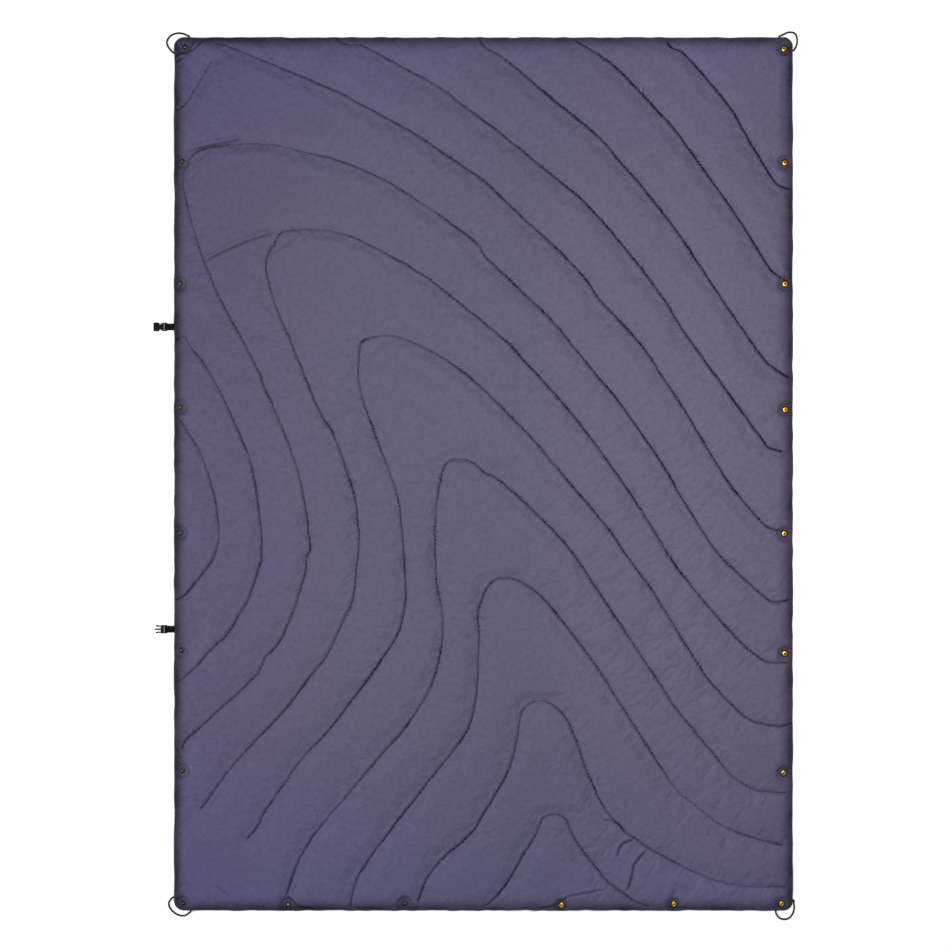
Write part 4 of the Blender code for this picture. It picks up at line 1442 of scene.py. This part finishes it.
class MakeSnaps(bpy.types.Operator):
    """Makes the dark sockets and the brass studs, with their backs"""

    bl_idname = "blanket.snaps"
    bl_label = "Snaps"

    def execute(self, context):
        tones = colours()
        pale = shade(tones.dark_metal, 3.0)
        brass = worn_material("brass", tones.brass, 0.30, 1.0, *SNAP_GRAIN)
        dark = worn_material("dark_metal", tones.dark_metal, 0.4, 1.0, *SNAP_GRAIN)
        well = worn_material("socket_well", pale, 0.35, 1.0, *SNAP_GRAIN)
        bright = worn_material("socket_painted_glint", PAINTED_GLINT_GREY, 0.25, 1.0, *SNAP_GRAIN)
        hole = worn_material("stud_hole_painted_shade", HOLE_PAINTED_SHADE, 0.6, 0.0, *SNAP_GRAIN)
        black = worn_material("black_washer_and_shadow", tones.black, 0.5, 0.0, *SNAP_GRAIN)
        for number in range(1, SNAP_COUNT + 1):
            # The glint socket's well takes the painted glint.
            build_socket(number, dark, bright if number == GLINT_SOCKET else well)
            build_back(f"snap_cap_{number}", f"cap_{number}", "black_metal", dark)
            build_stud(number, brass, black, hole)
            build_back(f"snap_post_{number}", f"back_{number}", "brass", brass)
        return {"FINISHED"}


# ---------------------------------------------------------------- webbing tabs

TAB_STRAND = 1.05 * MM
TAB_WIDTH = 0.015
TAB_TUCK = 0.005
TAB_TURN = 3.9 * MM
TAB_ROWS = 12
TAB_LIFT = 0.56 * MM
TAB_JOIN = 4.4 * MM
TAB_BAR_INSET = 2.65 * MM


def tab_path(bar_x, bar_z):
    """The webbing's middle line, in X and Z: out, round the bar and back."""
    stops = (-WIDTH / 2 + TAB_TUCK, -WIDTH / 2, bar_x + TAB_JOIN)
    round_bar = 1.2 * MM + TAB_STRAND / 2 + 0.15 * MM
    points = [(stop, bar_z + TAB_LIFT) for stop in stops]
    for step in range(1, 12):
        angle = math.radians(40 + 280 * (step - 1) / 10)
        reach = round_bar if math.cos(angle) > 0 else TAB_TURN
        points.append((bar_x + reach * math.cos(angle), bar_z + round_bar * math.sin(angle)))
    points += [(stop, bar_z - TAB_LIFT) for stop in reversed(stops)]
    return smooth_line(points, 0.6 * MM)


def build_tab(half, material):
    node = f"tab_{half}"
    low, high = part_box(node)
    middle_y, bar_z = (low.y + high.y) / 2, (low.z + high.z) / 2
    path = tab_path(low.x + TAB_BAR_INSET, bar_z)
    mesh = bmesh.new()
    bmesh.ops.create_grid(mesh, x_segments=len(path) - 1, y_segments=TAB_ROWS, size=1)
    mesh.verts.ensure_lookup_table()
    uv = mesh.loops.layers.uv.new("weave")
    at = along_line(path)
    where = {}
    for k, vertex in enumerate(mesh.verts):
        j, i = divmod(k, len(path))
        across = (j / TAB_ROWS - 0.5) * TAB_WIDTH
        where[vertex] = (at[i], across)
        vertex.co = (path[i, 0], middle_y + across, path[i, 1])
    for face in mesh.faces:
        for loop in face.loops:
            loop[uv].uv = where[loop.vert]
    data = kept_mesh(f"webbing_{half}", mesh)
    strip = linked_object(f"webbing_{half}", data)
    thick = strip.modifiers.new("thickness", "SOLIDIFY")
    thick.thickness = TAB_STRAND
    thick.offset = 0
    edge = strip.modifiers.new("edge", "BEVEL")
    edge.width = 0.3 * MM
    edge.segments = 2
    edge.angle_limit = math.radians(60)
    solid = bpy.data.meshes.new_from_object(
        strip.evaluated_get(bpy.context.evaluated_depsgraph_get())
    )
    bpy.data.objects.remove(strip)
    solid.materials.append(material)
    piece = linked_object(f"webbing_{half}", solid)
    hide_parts(node)
    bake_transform(piece)


class MakeTabs(bpy.types.Operator):
    """Makes the two webbing tabs on the left edge"""

    bl_idname = "blanket.tabs"
    bl_label = "Webbing tabs"

    def execute(self, context):
        material = woven_material("black_webbing", colours().black)
        for half in ("female", "male"):
            build_tab(half, material)
        return {"FINISHED"}


# ---------------------------------------------------------------- buckle

BUCKLE_PIECES = (
    # node, name, width of its rounded edges
    ("buckle_female", "female_half", 0.5 * MM),
    ("buckle_male", "male_half", 0.4 * MM),
    ("buckle_arm_head", "arm_head", 0.4 * MM),
    ("buckle_arm_foot", "arm_foot", 0.4 * MM),
)


def softened(node, name, width, material):
    """A copy of a frame node with its edges rounded, in its place."""
    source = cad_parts[node]
    source = bpy.data.objects[source] if isinstance(source, str) else source
    mesh = bmesh.new()
    mesh.from_mesh(source.data)
    bmesh.ops.remove_doubles(mesh, verts=mesh.verts, dist=0.004 * MM)
    bmesh.ops.dissolve_limit(
        mesh, angle_limit=math.radians(3), verts=mesh.verts, edges=mesh.edges,
        use_dissolve_boundaries=False,
    )
    sharp = [e for e in mesh.edges if e.is_manifold and e.calc_face_angle(0) > math.radians(35)]
    bmesh.ops.bevel(
        mesh, geom=sharp, offset=width, offset_type="OFFSET", affect="EDGES", segments=3,
        profile=0.5, material=-1, clamp_overlap=True,
    )
    data = kept_mesh(name, mesh)
    data.set_sharp_from_angle(angle=math.radians(50))
    data.materials.clear()
    piece = place_object(name, data, node, material)
    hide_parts(node)


class MakeBuckle(bpy.types.Operator):
    """Makes both halves of the buckle and its spring arms"""

    bl_idname = "blanket.buckle"
    bl_label = "Buckle"

    def execute(self, context):
        black = worn_material("black_plastic", colours().black, 0.42, 0, 700, 0.05 * MM)
        for node, name, width in BUCKLE_PIECES:
            softened(node, name, width, black)
        return {"FINISHED"}


# ---------------------------------------------------------------- stage

FLOOR_SIZE = 20
FLOOR_GLOW = 0.30
LAMPS = (
    # name, place, aim, size, power
    ("overhead_soft", (0.32, 0.22, 2.2), (0.24, 0.18, 0), 0.8, 37.0),
    ("low_left", (-2.8, -0.8, 1.7), (0, 0, 0), 1.4, 44.0),
)
SKY = 0.34
VIEW_WIDTH = 2.106
VIEW_MIDDLE = (-0.0188, -0.0022)


def build_floor():
    mesh = bmesh.new()
    bmesh.ops.create_grid(mesh, x_segments=1, y_segments=1, size=FLOOR_SIZE)
    white, shader = new_material("floor_white", roughness=0.9)
    shader.inputs["Base Color"].default_value = (0.92, 0.92, 0.92, 1)
    shader.inputs["Specular IOR Level"].default_value = 0.0
    shader.inputs["Emission Color"].default_value = (1, 1, 1, 1)
    shader.inputs["Emission Strength"].default_value = FLOOR_GLOW
    floor = linked_object("floor", kept_mesh("floor", mesh, smooth=False))
    floor.data.materials.append(white)


def build_lamps():
    world = bpy.data.worlds.new("studio")
    world.use_nodes = True
    sky = world.node_tree.nodes["Background"]
    sky.inputs["Color"].default_value = (1, 1, 1, 1)
    sky.inputs["Strength"].default_value = SKY
    bpy.context.scene.world = world
    for name, place, aim, size, power in LAMPS:
        lamp = bpy.data.lights.new(name, "AREA")
        lamp.size = size
        lamp.energy = power
        light = linked_object(name, lamp)
        light.location = place
        light.rotation_euler = (Vector(place) - Vector(aim)).to_track_quat("Z", "Y").to_euler()
        light.visible_camera = False


def build_camera():
    lens = bpy.data.cameras.new("overhead")
    lens.lens = 100
    lens.sensor_width = 36
    lens.clip_end = 50
    camera = linked_object("overhead", lens)
    distance = VIEW_WIDTH * lens.lens / lens.sensor_width
    camera.location = (*VIEW_MIDDLE, distance + HEM_TOP)
    bpy.context.scene.camera = camera
    bpy.context.scene.view_settings.view_transform = "Standard"


class MakeStage(bpy.types.Operator):
    """Makes the pale floor, the soft lights and the camera overhead"""

    bl_idname = "blanket.stage"
    bl_label = "Stage"

    def execute(self, context):
        build_floor()
        build_lamps()
        build_camera()
        return {"FINISHED"}


# ---------------------------------------------------------------- add-on


class BlanketPanel(bpy.types.Panel):
    """Lists the blanket's pieces, sizes and colours"""

    bl_idname = "VIEW3D_PT_blanket"
    bl_label = "Camp blanket"
    bl_space_type = "VIEW_3D"
    bl_region_type = "UI"
    bl_category = "Blanket"

    def draw(self, context):
        for operator in OPERATORS:
            self.layout.operator(operator.bl_idname)
        for group in (context.scene.blanket_sizes, context.scene.blanket_colours):
            for name in group.__annotations__:
                self.layout.prop(group, name)


OPERATORS = (MakeStage, MakeLoops, MakeQuilt, MakeThread, MakeSnaps, MakeTabs, MakeBuckle)
CLASSES = (BlanketSizes, BlanketColours, *OPERATORS, BlanketPanel)


def register():
    for cls in CLASSES:
        bpy.utils.register_class(cls)
    bpy.types.Scene.blanket_sizes = bpy.props.PointerProperty(type=BlanketSizes)
    bpy.types.Scene.blanket_colours = bpy.props.PointerProperty(type=BlanketColours)


def unregister():
    del bpy.types.Scene.blanket_sizes
    del bpy.types.Scene.blanket_colours
    for cls in reversed(CLASSES):
        bpy.utils.unregister_class(cls)


def main():
    register()
    bpy.ops.blanket.stage()
    bpy.ops.blanket.loops()
    bpy.ops.blanket.quilt()
    bpy.ops.blanket.thread()
    bpy.ops.blanket.snaps()
    bpy.ops.blanket.tabs()
    bpy.ops.blanket.buckle()


if __name__ == "__main__":
    main()
